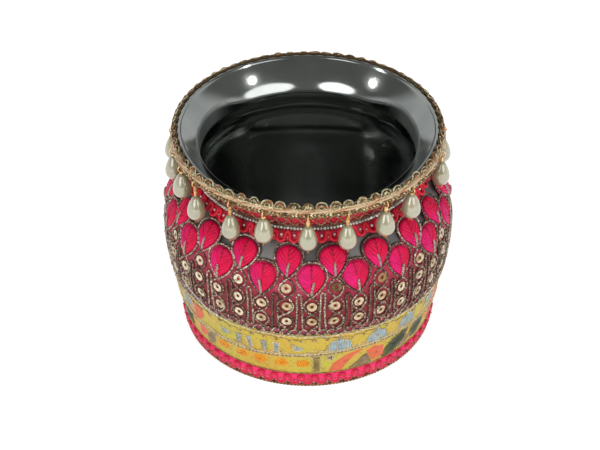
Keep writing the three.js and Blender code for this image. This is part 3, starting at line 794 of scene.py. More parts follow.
# sequins: radius, height and relief of the rings of a dished disc with a hole and two pressed rings; a low
# relief is painted shade in the hole and painted shadow round the rim
SEQUIN_RINGS = (
    (0.48, 0.0, 0.0), (0.62, 0.1, 0.5), (0.95, 0.06, 0.85), (1.2, 0.14, 1.0), (1.5, 0.12, 0.9),
    (1.78, 0.22, 1.0), (1.88, 0.16, 0.45), (1.84, 0.06, 0.1), (0.52, -0.08, 0.0),
)
SEQUIN_STEPS = 28
HIGH_STATIONS, LOW_STATIONS, COLUMN_FOOT = (51.3, 44.0, 36.7), (44.1, 36.7), 33.0
MISSING_AT, DULL_AT = 10.5, 29.5  # azimuths of a lost and of a blackened sequin in the top row


def frame_at(az, z, tilt=0.0, about=0.0):
    """Matrix with columns right, up along the surface and out, tilted a little."""
    _, out = on_pot(az, z)
    right = np.array([math.cos(math.radians(az)), math.sin(math.radians(az)), 0])
    m = np.stack([right, np.cross(out, right), out], 1)
    return m @ np.array(Matrix.Rotation(about, 3, "Z")) @ np.array(Matrix.Rotation(tilt, 3, "X"))


def sequin_columns(cords, sequins):
    """Columns under the petals: two cords weave round each sequin and cross midway between two."""
    turn = np.linspace(0, TAU, SEQUIN_STEPS, endpoint=False)
    verts = np.array([[r * math.cos(a), r * math.sin(a), h] for r, h, _ in SEQUIN_RINGS for a in turn])
    faces = grid_faces(len(SEQUIN_RINGS), SEQUIN_STEPS, wrap_rows=True, wrap_cols=True)
    relief = np.repeat([ring[2] for ring in SEQUIN_RINGS], SEQUIN_STEPS)
    places, axes, tones = [], [], []
    for petal in petals:
        stations = HIGH_STATIONS if petal["upper"] else LOW_STATIONS
        top = petal["tip"] - 0.1
        z = np.linspace(COLUMN_FOOT, top, 110)
        knots = [top] + [(a + b) / 2 for a, b in zip(stations[:-1], stations[1:])] + [COLUMN_FOOT]
        phase = np.interp(z, knots[::-1], np.arange(len(knots)) * math.pi)
        width = 2.75 * (1 + rng.normal(0, 0.03))
        swing = width * np.abs(np.sin(phase)) ** 0.75 * np.sign(np.sin(phase))
        drift = rng.normal(0, 0.25) * np.sin(phase / 2)
        for sign in (1, -1):
            az = beside(petal["az"], sign * swing + drift, z)
            thread_line(cords, az, z, CORD_LIFT + sign * 0.17 * np.cos(phase), **any_twist())
        for row, station in enumerate(stations):
            az0 = petal["az"] + rng.normal(0, 0.25)
            z0 = station + rng.normal(0, 0.15)
            top_row = petal["upper"] and row == 0
            places.append(on_pot(az0, z0, 0.95)[0])
            axes.append(frame_at(az0, z0, rng.normal(0, 0.07), rng.uniform(0, 6)))
            if top_row and abs(petal["az"] - MISSING_AT) < 3:
                tones.append(0.02)
            elif top_row and abs(petal["az"] - DULL_AT) < 3:
                tones.append(0.14)
            else:
                tones.append(rng.uniform(0.35, 1.0))
    sequins.copies(verts, faces, places, np.array(axes), tones, relief)


chains, sequins = Soup(), Soup()
sequin_columns(chains, sequins)
make("net_outlines", outlines, zari)
make("net_sequin_cords", chains, zari)
make("net_sequins", sequins, sequin)

# hairpin loops between the columns
HAIRPIN_FOOT, HAIRPIN_TOP, HAIRPIN_AZ = 32.4, 49.4, (-3.7, 6.1)
leg = np.linspace(0, 1, 30)
arch = np.linspace(math.pi, 0, 12)[1:-1]
hairpins = Soup()
for i in range(PETALS):
    for az0 in HAIRPIN_AZ:
        centre = az0 + PERIOD * i + rng.normal(0, 0.3)
        top = HAIRPIN_TOP + rng.normal(0, 0.5) - 1.0
        half = 0.82 * (1 + rng.normal(0, 0.1))
        bow = rng.normal(0, 0.3)
        left_z = HAIRPIN_FOOT + (top - HAIRPIN_FOOT) * leg
        left_x = -half - 0.5 * (1 - leg) ** 3 + bow * np.sin(leg * math.pi)
        right_x = -left_x[::-1] + 2 * bow * np.sin(leg[::-1] * math.pi)
        x = np.concatenate([left_x, half * np.cos(arch), right_x])
        z = np.concatenate([left_z, top + 1.0 * np.sin(arch), left_z[::-1]])
        thread_line(hairpins, beside(centre, x, z), z, CORD_LIFT, **any_twist())
make("net_hairpins", hairpins, zari)

# lozenge border at the foot of the net: two cords that cross, with a padded stitch in each lozenge
LOZENGES, BORDER_Z = 100, 31.0
az = around(LOZENGES * 14)
wave = np.sin(np.radians(az) * LOZENGES / 2)
border = Soup()
for sign in (1, -1):
    z = BORDER_Z + sign * 1.5 * np.abs(wave) ** 0.8 * np.sign(wave)
    lift = CORD_LIFT + sign * 0.17 * np.cos(np.radians(az) * LOZENGES / 2)
    thread_line(border, az, z, lift, 0.32, closed=True, tone=0.3)
make("net_border_cords", border, zari)

# pale thread that has come loose at the lower left
az = np.linspace(-59, -38, 30)
z = np.interp(az, [-59, -50, -44, -38], [36.2, 32.6, 30.6, 30.0])
loose = Soup()
thread_line(loose, az, z, CORD_LIFT + 0.55, 0.2, tone=1.0, taper=0.0)
make("net_loose_thread", loose, purl)


def ball(levels):
    mesh = bmesh.new()
    bmesh.ops.create_icosphere(mesh, subdivisions=levels, radius=1.0)
    verts = np.array([v.co[:] for v in mesh.verts])
    faces = np.array([[v.index for v in f.verts] for f in mesh.faces])
    mesh.free()
    return verts, faces


BEAD, GEM = ball(2), ball(1)


def bead_row(soup, azs, z, lift, radius, spread, shape=BEAD):
    """Beads round the pot, each a little off its place and size and turned at random."""
    azs = np.asarray(azs, float) + rng.normal(0, spread, len(azs))
    zs = np.broadcast_to(z, azs.shape) + rng.normal(0, spread, len(azs))
    points, _ = on_pot(azs, zs, lift)
    frames = np.array([frame_at(a, z, rng.uniform(0, 3), rng.uniform(0, 6)) for a, z in zip(azs, zs)])
    size = radius * (1 + rng.normal(0, 0.06, len(azs)))
    soup.copies(*shape, points, frames * size[:, None, None], rng.uniform(0.2, 1.0, len(azs)))


stitches = Soup()
spots = (np.arange(LOZENGES) + 0.5) * 360 / LOZENGES
stitch_axes = np.array([frame_at(a, BORDER_Z, 0.0, rng.normal(0, 0.12)) for a in spots])
stitch_axes = stitch_axes * np.array([1.2, 0.85, 0.36])
stitches.copies(*BEAD, on_pot(spots, BORDER_Z, 0.72)[0], stitch_axes, rng.uniform(0, 1, LOZENGES))
make("net_border_stitches", stitches, border_silk)

# gimp braids
NECK_GIMP_FOOT, NECK_GIMP_WIDTH = 65.0, 3.7
BASE_GIMP_FOOT, BASE_GIMP_WIDTH = 1.9, 4.5


def meander(pitch, wide, top, low):
    """One period of the cord: down, round a wide bend, up again and over a narrow bend."""
    half, gap = wide / 2, (pitch - wide) / 2
    bend = np.linspace(0, math.pi / 2, 6)
    x = np.concatenate([[0.0], half * np.sin(bend[1:]), [half], half + gap * (1 - np.cos(bend[1:]))])
    z = np.concatenate([[low], low + half * 0.8 * (1 - np.cos(bend[1:])), [top - gap * 1.1],
                        top - gap * 1.1 * (1 - np.sin(bend[1:]))])
    return np.concatenate([-x[::-1], x[1:-1]]), np.concatenate([z[::-1], z[1:-1]])


def gimp(name, silk, foot, width, pitch, wide, radius, lift, node):
    """The looped cord of a gimp braid; gives the azimuths of its loops and the height of its middle."""
    middle = foot + width / 2
    girth = TAU * radius_at(middle)
    count = int(round(girth / pitch))
    x, z = meander(pitch, wide, foot + width - radius * 0.8, foot + radius * 0.5)
    az0 = np.repeat(np.arange(count) * 360 / count, len(x))
    x = np.tile(x, count) + rng.normal(0, 0.03, len(az0))
    z = np.tile(z, count) + 0.1 * np.sin(np.radians(az0) * 7 + x)
    soup = Soup()
    path = on_pot(beside(az0, x * girth / (count * pitch), z), z, lift)
    tube(soup, path, radius, sides=9, closed=True, lobes=3, pitch=2.2, depth=0.1, flat=0.8)
    make(name, soup, silk, [node])
    return np.arange(count) * 360 / count, 180 / count, middle


neck_loops, neck_half, neck_middle = gimp(
    "neck_gimp_loops", neck_pink_lit, NECK_GIMP_FOOT, NECK_GIMP_WIDTH, 4.6, 3.0, 0.66, 1.1, "neck_gimp_braid")
base_loops, base_half, base_middle = gimp(
    "base_gimp_loops", pink, BASE_GIMP_FOOT, BASE_GIMP_WIDTH, 4.9, 2.7, 0.85, 1.3, "base_gimp_braid")
band = cloth_band(NECK_GIMP_FOOT + 0.3, NECK_GIMP_FOOT + NECK_GIMP_WIDTH - 0.2, 0.75, 8)
make("neck_gimp_ground", band, dark_silk)
make("base_gimp_ground", cloth_band(2.0, BROCADE_FOOT, 1.75, 8), pink)
beads = Soup()
bead_row(beads, neck_loops, neck_middle + 0.2, 1.1, 0.5, 0.05)
bead_row(beads, neck_loops + neck_half, neck_middle - 0.4, 0.95, 0.24, 0.05)
make("neck_gimp_beads", beads, crystal)
beads = Soup()
bead_row(beads, base_loops, base_middle + 0.2, 1.95, 0.36, 0.1)
bead_row(beads, base_loops + base_half, base_middle - 1.0, 1.9, 0.26, 0.1)
make("base_gimp_beads", beads, cord_gold)

# gold cord in the base corner
BASE_CORD_R, BASE_CORD_Z = 47.3, 0.75
cord = Soup()
tube(cord, on_ring(around(700), BASE_CORD_R, BASE_CORD_Z), 0.6, step=0.28, sides=9, closed=True,
     lobes=2, pitch=2.6, depth=0.26)
make("base_gold_cord", cord, cord_gold, ["base_gold_edging"])

# neck: crystals between two threads, and lattice lace
CRYSTAL_Z, CRYSTALS = 69.45, 226
LACE_LOW, LACE_HIGH = 70.5, 77.0
LACE_CELLS, LACE_CROSSINGS = 57, 1.5
gems, rails = Soup(), Soup()
bead_row(gems, np.arange(CRYSTALS) * 360 / CRYSTALS, CRYSTAL_Z, 0.9, 0.6, 0.03, GEM)
make("neck_crystals", gems, crystal, ["neck_crystal_chain"], smooth=False)
for z in (CRYSTAL_Z - 0.7, CRYSTAL_Z + 0.75):
    thread_line(rails, around(600), z, 0.6, 0.22, closed=True, step=0.3, sides=6)
make("neck_crystal_rails", rails, lace_thread)

ribbon = cloth_band(LACE_LOW, LACE_HIGH, 0.62, 14, 480)
make("neck_lace_ribbon", ribbon, red_silk, ["neck_lattice_lace"])
lattice, satin = Soup(), Soup()
span = np.linspace(0, 1, 26)
for i in range(LACE_CELLS):
    for sign in (1, -1):
        for offset in (-0.22, 0.22):
            az = i * 360 / LACE_CELLS + sign * span * 360 / LACE_CELLS * LACE_CROSSINGS
            z = LACE_LOW + 0.2 + span * (LACE_HIGH - LACE_LOW - 0.4)
            lift = 0.95 + sign * 0.13 * np.cos(span * math.pi * 3)
            thread_line(lattice, beside(az, offset + rng.normal(0, 0.05), z), z, lift, 0.17, step=0.26,
                        sides=6, pitch=1.3, tone=rng.uniform(0, 0.5), phase=rng.uniform(0, 6))
az = around(800)
for z in (LACE_LOW + 0.25, LACE_HIGH - 0.3):
    thread_line(lattice, az, z + 0.25 * np.sin(np.radians(az) * LACE_CELLS * 2), 0.95, 0.24, closed=True)
make("neck_lace_lattice", lattice, lace_thread)
# satin diamonds puff out between the threads
corners = np.abs(BEAD[0][:, :1] * BEAD[0][:, 1:2])
diamond = BEAD[0] * (1 - 0.25 * corners * 2)
for i in range(LACE_CELLS):
    for row in (0.5, 1.0):
        az0 = (i + (0.5 if row == 0.5 else 0.0)) * 360 / LACE_CELLS
        z0 = LACE_LOW + (LACE_HIGH - LACE_LOW) / LACE_CROSSINGS * row
        size = rng.normal(1, 0.06) * np.array([1.3, 1.3, 0.62])
        axes = np.array([frame_at(az0, z0, 0, rng.normal(0, 0.1))]) * size
        satin.copies(diamond, BEAD[1], on_pot([az0], [z0], 0.62)[0], axes, [rng.uniform(0, 1)])
make("neck_lace_diamonds", satin, red_pad)

# rim braid: a web curls over the lip, and carries all its threads; its dark colour is painted shade between
# them
RIM_FACE, FACE_TOP = 49.0, 83.5
SCALLOPS = 65
EDGE_R, EDGE_Z = 49.6, 80.5
PEACH_R, PEACH_Z = 49.6, 82.75


def rim_web():
    az = around(SCALLOPS * 10)
    laid = laid_in(az)
    inward = 0.8 * np.abs(np.cos(np.radians(az) * SCALLOPS / 2)) * laid
    stand = 84.2 + (0.9 + 0.25 * laid) * np.clip(np.cos(np.radians(az) * SCALLOPS), 0.9 * laid, 1) ** 0.7
    section = (
        (EDGE_R - 0.1, EDGE_Z - 0.35), (EDGE_R + 0.3, EDGE_Z), (49.2, 81.6), (49.0, 82.6), (49.05, 83.8),
        (48.95 - 0.1 * inward, stand - 0.35), (48.75 - 0.6 * inward, stand),
        (48.5 - 1.5 * inward, stand + 0.05 + 0.3 * inward),
        (48.4 - 1.3 * inward, stand - 0.1 + 0.1 * inward),
        (48.3 - 0.3 * inward, stand - 0.35), (48.25, 83.6), (48.25, 82.4), (48.6, 81.6),
        (EDGE_R - 0.45, EDGE_Z + 0.1),
    )
    points = np.stack([on_ring(az, r, z)[0] for r, z in section], 1)
    soup = Soup()
    soup.add(points, (0.3, 0, 0.4), grid_faces(len(az), len(section), wrap_rows=True, wrap_cols=True))
    return soup


def over_lip(az, along, out):
    """Path on the braid, along mm up from the peach cord and over the lip, out mm off its face."""
    knee, curl, bend_r = 1.2, 1.45, 1.05
    over = np.clip(along - knee, 0, None)
    bend = np.clip(over / curl, 0, 1) * math.pi / 2
    flat = np.clip(over - curl, 0, None)
    nr, nz = np.cos(bend), np.sin(bend)
    r = RIM_FACE + 0.08 - bend_r * (1 - nr) - flat + nr * out
    z = FACE_TOP + np.minimum(along, knee) + bend_r * nz - 0.2 * flat + nz * out
    return on_ring(az, r, z)[0], turned(np.radians(az), nr, nz)


# loops of a scallop: reach, half width as a share of the pitch, lift, cord radius and tone
SCALLOP_LOOPS = ((2.15, 0.37, 0.12, 0.23, 0.85), (1.75, 0.29, 0.3, 0.22, 0.1), (1.35, 0.2, 0.32, 0.22, 0.9),
                 (0.85, 0.11, 0.28, 0.2, 0.3))


def rim_scallops():
    soup = Soup()
    pitch = TAU * RIM_FACE / SCALLOPS
    for i in range(SCALLOPS):
        centre = i * 360 / SCALLOPS + rng.normal(0, 0.15)
        stretch = (1 + 0.1 * float(laid_in(centre))) * (1 + rng.normal(0, 0.07))
        slack = rng.normal(0, 0.12)
        t = np.linspace(0, math.pi, 26)
        for reach, half, out, radius, tone in SCALLOP_LOOPS:
            wide = half * pitch * np.cos(t) * (1 + 0.25 * np.sin(t))
            x = wide * (1 + rng.normal(0, 0.08)) + slack * np.sin(t)
            along = 0.1 + (reach * stretch - 0.1) * np.sin(t) ** 0.75 * (1 + rng.normal(0, 0.04))
            path = over_lip(centre + np.degrees(x / RIM_FACE), along, out + 0.1 * np.cos(t * 2 + i))
            tube(soup, path, radius, step=0.24, lobes=2, pitch=1.0, depth=0.32,
                 tone=tone + rng.normal(0, 0.25), phase=rng.uniform(0, 6), taper=0.3)
        # short threads that fan out from the foot of the scallop
        t = np.linspace(0.3, 1, 8)
        for turn in (-0.9, -0.45, 0.0, 0.45, 0.9):
            x = turn * t * 0.3 * pitch + slack * t
            along = t * 1.7 * stretch * math.cos(turn * 0.9)
            path = over_lip(centre + np.degrees(x / RIM_FACE), along, 0.34 + rng.normal(0, 0.07))
            tube(soup, path, 0.16, step=0.26, sides=5, tone=rng.uniform(-0.3, 1.1), taper=0.3)
        # and a low arch from this scallop to the next
        t = np.linspace(0, math.pi, 14)
        x = pitch * (0.5 + 0.24 * np.cos(t))
        path = over_lip(centre + np.degrees(x / RIM_FACE), 0.1 + 0.5 * np.sin(t), 0.2 + 0 * t)
        tube(soup, path, 0.2, step=0.24, lobes=2, pitch=1.0, depth=0.3, tone=rng.uniform(0, 0.9))
    return soup


def rim_twist():
    """A stout twist that closes the braid over the lip at the sides and back."""
    soup = Soup()
    az = np.linspace(58, 302, 900)
    path = over_lip(az, 1.25 + 0.1 * np.sin(np.radians(az) * 61), 0.05)
    tube(soup, path, 0.42, step=0.28, sides=8, lobes=2, pitch=2.3, depth=0.28, taper=3.0)
    return soup


def rim_herringbone():
    """Two rows of slanting stitches under the peach cord: foot, top, slant and radius."""
    soup = Soup()
    stitches = 236
    t = np.linspace(0, 1, 6)
    for i in range(stitches):
        for low, high, slant, out in ((81.2, 82.1, 1, 49.3), (80.55, 81.45, -1, 49.42)):
            x = slant * (t - 0.5) * 1.25
            r = out + 0.22 * np.sin(t * math.pi) + rng.normal(0, 0.03)
            path = on_ring(i * 360 / stitches + np.degrees(x / 49.2), r, low + (high - low) * t)
            tube(soup, path, 0.27, tone=rng.uniform(0, 1.0), taper=0.3)
    return soup


def rim_edge():
    """Picot cord at the foot of the braid, which the drops hang from."""
    soup = Soup()
    az = around(2600)
    wave = np.radians(az) * 150
    path = on_ring(az, EDGE_R + 0.15 * np.sin(wave + 1), EDGE_Z + 0.15 * np.sin(wave))
    tube(soup, path, 0.3, step=0.24, sides=7, closed=True, lobes=2, depth=0.22, tone=0.5)
    return soup


def peach_cord():
    """Three long loose plies."""
    soup = Soup()
    az = around(900)
    angle = np.radians(az)
    for k in range(3):
        turn = angle * 26 + k * TAU / 3
        height = PEACH_Z + 0.06 * np.sin(angle * 29) + 0.34 * np.sin(turn)
        path = on_ring(az, PEACH_R + 0.26 * np.cos(turn), height)
        tube(soup, path, 0.3, sides=7, closed=True, lobes=2, pitch=2.2, depth=0.14, tone=0.35 * k)
    return soup


# two thin gold threads above the peach cord: radius, height, sway, its waves, thickness and tone
PEACH_BORDERS = ((49.45, 83.55, 0.08, 53, 0.27, 0.9), (49.3, 83.95, 0.06, 47, 0.2, 0.3))


def peach_borders():
    soup = Soup()
    az = around(900)
    for r, z, sway, waves, radius, tone in PEACH_BORDERS:
        path = on_ring(az, r, z + sway * np.sin(np.radians(az) * waves))
        tube(soup, path, radius, step=0.28, closed=True, lobes=2, pitch=1.3, depth=0.24, tone=tone)
    return soup


make("rim_braid_web", rim_web(), zari_base_shade, ["rim_braid"])
make("rim_braid_scallops", rim_scallops(), zari_gold)
make("rim_braid_twist", rim_twist(), zari_gold)
make("rim_braid_herringbone", rim_herringbone(), zari_gold)
make("rim_braid_edge", rim_edge(), zari_gold)
make("rim_peach_cord_twist", peach_cord(), peach, ["rim_peach_cord"])
make("rim_peach_cord_borders", peach_borders(), zari_gold)

# brocade figures
FIGURE_LIFT, CURL = 0.98, 0.35
LOW_Z, HIGH_Z = 6.6, 31.0  # a figure is cut off below and above these


def evenly(outline, n):
    outline = np.vstack([outline, outline[:1]])
    length = lengths_along(outline)
    at = np.linspace(0, length[-1], n, endpoint=False)
    return np.stack([np.interp(at, length, outline[:, k]) for k in range(2)], 1)


def figure(soup, az0, z0, outline, tilt=0.0, stripe=(90, 0.9), rings=12, n=96, edge=None):
    """Raised woven figure from an outline in mm; stripe gives its stripes' direction and width, and
    edge the number of curls in the gold thread round it."""
    outline = evenly(np.asarray(outline, float), n)
    mid = outline.mean(0)
    rho = np.linspace(0, 1, rings)[1:, None, None]
    xy = mid + rho * (outline - mid)
    a = math.radians(stripe[0])
    across = xy[..., 0] * math.sin(a) - xy[..., 1] * math.cos(a)
    wave = 0.5 + 0.5 * np.cos(TAU * across / stripe[1])
    height = FIGURE_LIFT + 0.09 * wave + 0.05 * np.cos(rho[..., 0] * math.pi / 2)
    height[-1] = FIGURE_LIFT - 0.12
    c, s = math.cos(math.radians(tilt)), math.sin(math.radians(tilt))
    x, y = xy[..., 0] * c - xy[..., 1] * s, xy[..., 0] * s + xy[..., 1] * c
    z = np.clip(z0 + y, LOW_Z, HIGH_Z)
    az = beside(az0, x, z)
    mid_x, mid_z = mid[0] * c - mid[1] * s, z0 + mid[0] * s + mid[1] * c
    middle, _ = on_pot([beside(az0, mid_x, mid_z)], [mid_z], FIGURE_LIFT + 0.12)
    info = np.stack([rho[..., 0] + 0 * wave, np.linspace(0, 1, n, endpoint=False) + 0 * wave, wave], -1)
    points, _ = on_pot(az, z, height)
    under, _ = on_pot(az[-1], z[-1], 0.6)
    soup.dome(middle, points, under, info, [0, 0, 0.8], [0, 0, 0.2])
    if edge:
        curl = np.arange(n) * TAU * edge / n
        curled = beside(az0, x[-1] + CURL * np.cos(curl), z[-1])
        thread_line(scrolls, curled, z[-1] + CURL * np.sin(curl), 1.12, 0.13, closed=True, sides=5,
                    step=0.3, pitch=1.1, tone=rng.uniform(0.4, 1.0))


def fan_shape(width, height):
    x = np.linspace(-1, 1, 41)
    top = (0.3 + 0.7 * np.cos(x * math.pi / 2) ** 0.8) * (0.9 + 0.1 * np.cos(x * 3 * math.pi))
    top[[0, -1]] = 0.08
    foot = np.stack([x[::-1] * width / 2 * 0.98, np.full(41, -0.5 * height)], 1)
    return np.concatenate([np.stack([x * width / 2, (top - 0.5) * height], 1), foot])


def blossom(width, height, lobes, depth):
    t = np.linspace(0, TAU, 80, endpoint=False)
    r = 1 + depth * np.cos(lobes * t)
    return np.stack([r * np.cos(t) * width / 2, r * np.sin(t) * height / 2], 1)


def leaf(length, width, teeth, saw=0.22):
    t = np.linspace(0, 1, 60)
    notch = 1 - saw + saw * 2 * np.abs((t * teeth) % 1 - 0.5) * 2
    half = width / 2 * np.sin(math.pi * t ** 0.8) ** 0.8 * notch
    x = (t - 0.5) * length
    return np.concatenate([np.stack([x, half], 1), np.stack([x[::-1], -half[::-1]], 1)])


def bar(width, height):
    w, h = width / 2, height / 2
    return [(-w, -h), (w, -h), (w, h - 0.7), (1.6 * w, h), (-1.6 * w, h), (-w, h - 0.7)]


ARROW = [(-2.2, 2.0), (0.2, 0.9), (2.2, -0.6), (0.4, -1.6), (-1.4, -2.0)]
BIRD = [(-2.6, 1.8), (1.0, 1.0), (2.6, 0.0), (0.6, -1.6), (-2.2, -2.0), (-1.0, 0)]
BIG_PETAL = [(-6.4, -4.6), (-4.6, 0.2), (-0.6, 4.0), (6.4, 5.4), (3.0, 2.2), (0.4, -1.2), (-1.6, -5.0)]
SHIELD = [(-4.0, 2.6), (-1.2, 4.6), (3.2, 2.8), (4.2, -3.4), (-0.6, -4.6), (-2.8, -0.4)]
TENT = [(-5.0, -2.6), (0.4, 3.2), (1.8, 3.4), (4.4, -3.0), (-1.0, -3.0)]
# azimuth, height, and the fan's height and width
FANS = ((13.2, 23.7, 8.2, 9.6), (30.0, 23.8, 7.4, 9.0), (45.4, 24.6, 7.6, 8.6), (61.0, 25.4, 7.8, 8.0))

figures = {key: Soup() for key in ("blue", "orange", "coral", "green", "olive", "taupe")}
scrolls = Soup()


def put(unit, key, az, z, outline, tilt=0.0, wobble=0.0, **options):
    """A figure in one third of the band, a little off its place, and turned at random if it wobbles."""
    az = unit + az + rng.normal(0, 0.4)
    if wobble:
        tilt = rng.normal(tilt, wobble)
    figure(figures[key], az, z, outline, tilt, **options)


def upper_register(unit):
    for az, z, high, wide in FANS:
        put(unit, "blue", az, z, fan_shape(wide, high), wobble=3, stripe=(90, 0.95), edge=22)
    for az in (-29.8, -25.2, -18.9, -13.4):
        put(unit, "blue", az, 21.4, bar(1.6, 5.4), wobble=3, n=48, rings=6, edge=9)
    put(unit, "blue", -4.6, 22.2, ARROW, n=60, rings=8, edge=9)
    put(unit, "blue", -36.4, 22.4, BIRD, n=60, rings=8, edge=9)
    put(unit, "coral", -53.5, 22.6, blossom(8.2, 8.8, 3, 0.14), tilt=20, stripe=(90, 0.8))


def lower_register(unit):
    for az in (-38.7, -29.8, -20.4, -11.2, -1.9):
        figure(figures["orange"], unit + az + rng.normal(0, 0.4), 12.8 + rng.normal(0, 0.15),
               blossom(5.2, 4.3, 5, 0.12), tilt=rng.normal(8, 10), stripe=(rng.uniform(20, 60), 0.8),
               n=64, rings=8)
    put(unit, "olive", 3.8, 12.6, bar(2.2, 9.0), stripe=(10, 1.0), tilt=2, edge=14)
    put(unit, "taupe", 9.4, 16.0, blossom(2.4, 2.2, 5, 0.25), n=48, rings=6, edge=6)
    put(unit, "coral", 16.2, 12.4, BIG_PETAL, stripe=(40, 0.9))
    put(unit, "coral", 30.0, 12.8, SHIELD, stripe=(80, 0.9))
    put(unit, "taupe", 23.6, 10.6, TENT, stripe=(30, 0.6))
    put(unit, "green", 42.0, 13.2, leaf(16.0, 8.0, 17, 0.34), tilt=38, stripe=(70, 0.9))
    put(unit, "green", 54.8, 13.8, leaf(11.4, 8.4, 13, 0.34), tilt=52, stripe=(70, 0.9))
    put(unit, "taupe", 49.0, 11.0, leaf(9.0, 3.6, 5), tilt=32, stripe=(70, 0.7))
    put(unit, "orange", 61.6, 15.6, blossom(3.6, 3.4, 4, 0.16), tilt=10, n=64, rings=8)
    put(unit, "coral", 68.0, 13.4, blossom(5.2, 7.0, 3, 0.14), tilt=-10, stripe=(60, 0.8))
    put(unit, "taupe", -46.6, 12.6, leaf(9.6, 4.4, 5), tilt=64, stripe=(70, 0.7))


for third in (0, 120, 240):
    upper_register(third)
    lower_register(third)
for material in (blue, orange, coral, green, olive, taupe):
    key = material.name.removesuffix("_motif")
    make("brocade_" + key + "_figures", figures[key], material)


# gold threads on the brocade: a dividing chain, curls along its top, and the figures' outlines
def divide(az):
    """Height of the chain between the two registers, the same in each third of the band."""
    along = (np.asarray(az, float) + 42) % 120
    stations = [0, 17, 34, 50, 67, 87, 102, 120]
    return np.interp(along, stations, [16.4, 16.6, 17.6, 18.6, 19.1, 18.6, 17.5, 16.4])


def curl_line(base, amplitude, waves, loop, radius, tone, lift=1.05):
    """A thread that curls round the pot at a height that follows the azimuth."""
    t = np.linspace(0, TAU * waves, waves * 24, endpoint=False)
    az = np.degrees(t / waves)
    x = loop * np.sin(t) * (1 + 0.3 * np.sin(t * 0.23))
    z = base(az) + amplitude * np.cos(t) * (1 + 0.25 * np.sin(t * 0.31 + 1))
    thread_line(scrolls, beside(az, x, z), z, lift + 0.08 * np.sin(2 * t), radius, closed=True, step=0.3,
                sides=5, pitch=1.2, tone=tone)


curl_line(divide, 0.55, 200, 0.7, 0.18, 0.8)
curl_line(lambda az: divide(az) - 0.25, 0.1, 120, 0.05, 0.26, 0.0)
curl_line(lambda az: divide(az) + 1.1 + 0.6 * np.sin(np.radians(az) * 21), 0.5, 110, 1.0, 0.16, 0.6)
curl_line(lambda az: 28.5 + 0.25 * np.sin(np.radians(az) * 37), 0.35, 170, 0.8, 0.15, 0.9)
curl_line(lambda az: 26.6 + 0.5 * np.sin(np.radians(az) * 15), 0.8, 70, 1.5, 0.16, 0.3)
curl_line(lambda az: 7.2, 0.3, 110, 0.5, 0.16, 0.1, lift=0.98)
make("brocade_zari_lines", scrolls, zari_fine)

# pearl drops, in mm from the middle of the pin's eye
PIN_EYE, WIRE, TAIL = 1.25, 0.24, 0.62
WRAP_TOP, WRAP_FOOT, WRAP_TURNS = -1.15, -3.65, 6.5
PEARL_TOP, PEARL_FOOT = -3.75, -13.55
PEARL_R, PEARL_NECK, PEARL_WIDE, PEARL_BORE = 3.25, 0.36, 0.66, 0.45
# how much higher a pearl sits on its wire than the usual, by the drop's number
HANG = {1: -0.2, 2: -1.2, 3: 0.2, 4: 1.9, 17: 1.4, 18: 1.6, 19: 1.3, 20: -2.1, 21: -1.4, 22: 1.3}


def pearl_soup(rise, slim):
    sides, rings = 40, 30
    share = (1 - np.cos(np.linspace(0, math.pi, rings))) / 2
    cone = PEARL_NECK + (1 - PEARL_NECK) * np.sin(math.pi / 2 * share / PEARL_WIDE)
    cap = np.sqrt(np.clip(1 - (0.97 * (share - PEARL_WIDE) / (1 - PEARL_WIDE)) ** 2, 0, 1))
    r = np.where(share < PEARL_WIDE, cone, cap)
    r = r * np.clip(np.sqrt(np.clip(share, 0, 1) / 0.03), 0.55, 1) * PEARL_R * slim
    z = PEARL_TOP + rise - share * (PEARL_TOP - PEARL_FOOT)
    r = np.concatenate([[PEARL_BORE], r, [PEARL_BORE]])
    z = np.concatenate([[z[0] - 0.05], z, [z[-1] + 0.05]])
    phi = np.linspace(0, TAU, sides, endpoint=False)[:, None]
    x, y = r * np.cos(phi), r * np.sin(phi)
    soup = Soup()
    soup.add(np.stack([x, y, np.broadcast_to(z, x.shape)], -1), (0.5, 0, 1),
             grid_faces(sides, len(r), wrap_rows=True, wrap_cols=True))
    return soup


def wire_ring(soup, radius, centre, thickness, steps, **options):
    t = np.linspace(0, TAU, steps, endpoint=False)
    ring = np.stack([0 * t, radius * np.cos(t), centre + radius * np.sin(t)], 1)
    tube(soup, (ring, (1.0, 0, 0)), thickness, closed=True, **options)


def pin_soup(start, rise):
    """Eye, shank, the wrap round the shank and the tail ring."""
    soup = Soup()
    foot = PEARL_FOOT + rise
    wire_ring(soup, PIN_EYE, 0.0, WIRE, 40, step=0.25, sides=8, tone=0.6)
    down = np.linspace(-PIN_EYE, foot - 0.15, 12)
    tube(soup, (np.stack([0 * down, 0 * down, down], 1), (1.0, 0, 0)), 0.3, step=0.6, sides=8, tone=0.5)
    t = np.linspace(0, 1, 150)
    angle = TAU * WRAP_TURNS * t + start
    out = np.stack([np.cos(angle), np.sin(angle), 0 * t], 1)
    swell = 0.44 + 0.16 * np.sin(math.pi * np.clip(t * 1.15, 0, 1)) + 0.05 * np.sin(angle * 0.37)
    helix = swell[:, None] * out
    helix[:, 2] = WRAP_TOP + (WRAP_FOOT + rise - WRAP_TOP + 0.2) * t
    tube(soup, (helix, out), 0.2, step=0.22, sides=7, tone=0.7)
    wire_ring(soup, TAIL, foot - 0.1 - WIRE - TAIL, 0.2, 32, step=0.22, sides=7, tone=0.1)
    return soup


def placed(soup, spot, azimuth):
    c, s = math.cos(azimuth), math.sin(azimuth)
    turn = np.array([[c, -s, 0], [s, c, 0], [0, 0, 1]])
    soup.verts = [v @ turn.T + spot for v in soup.verts]
    return soup


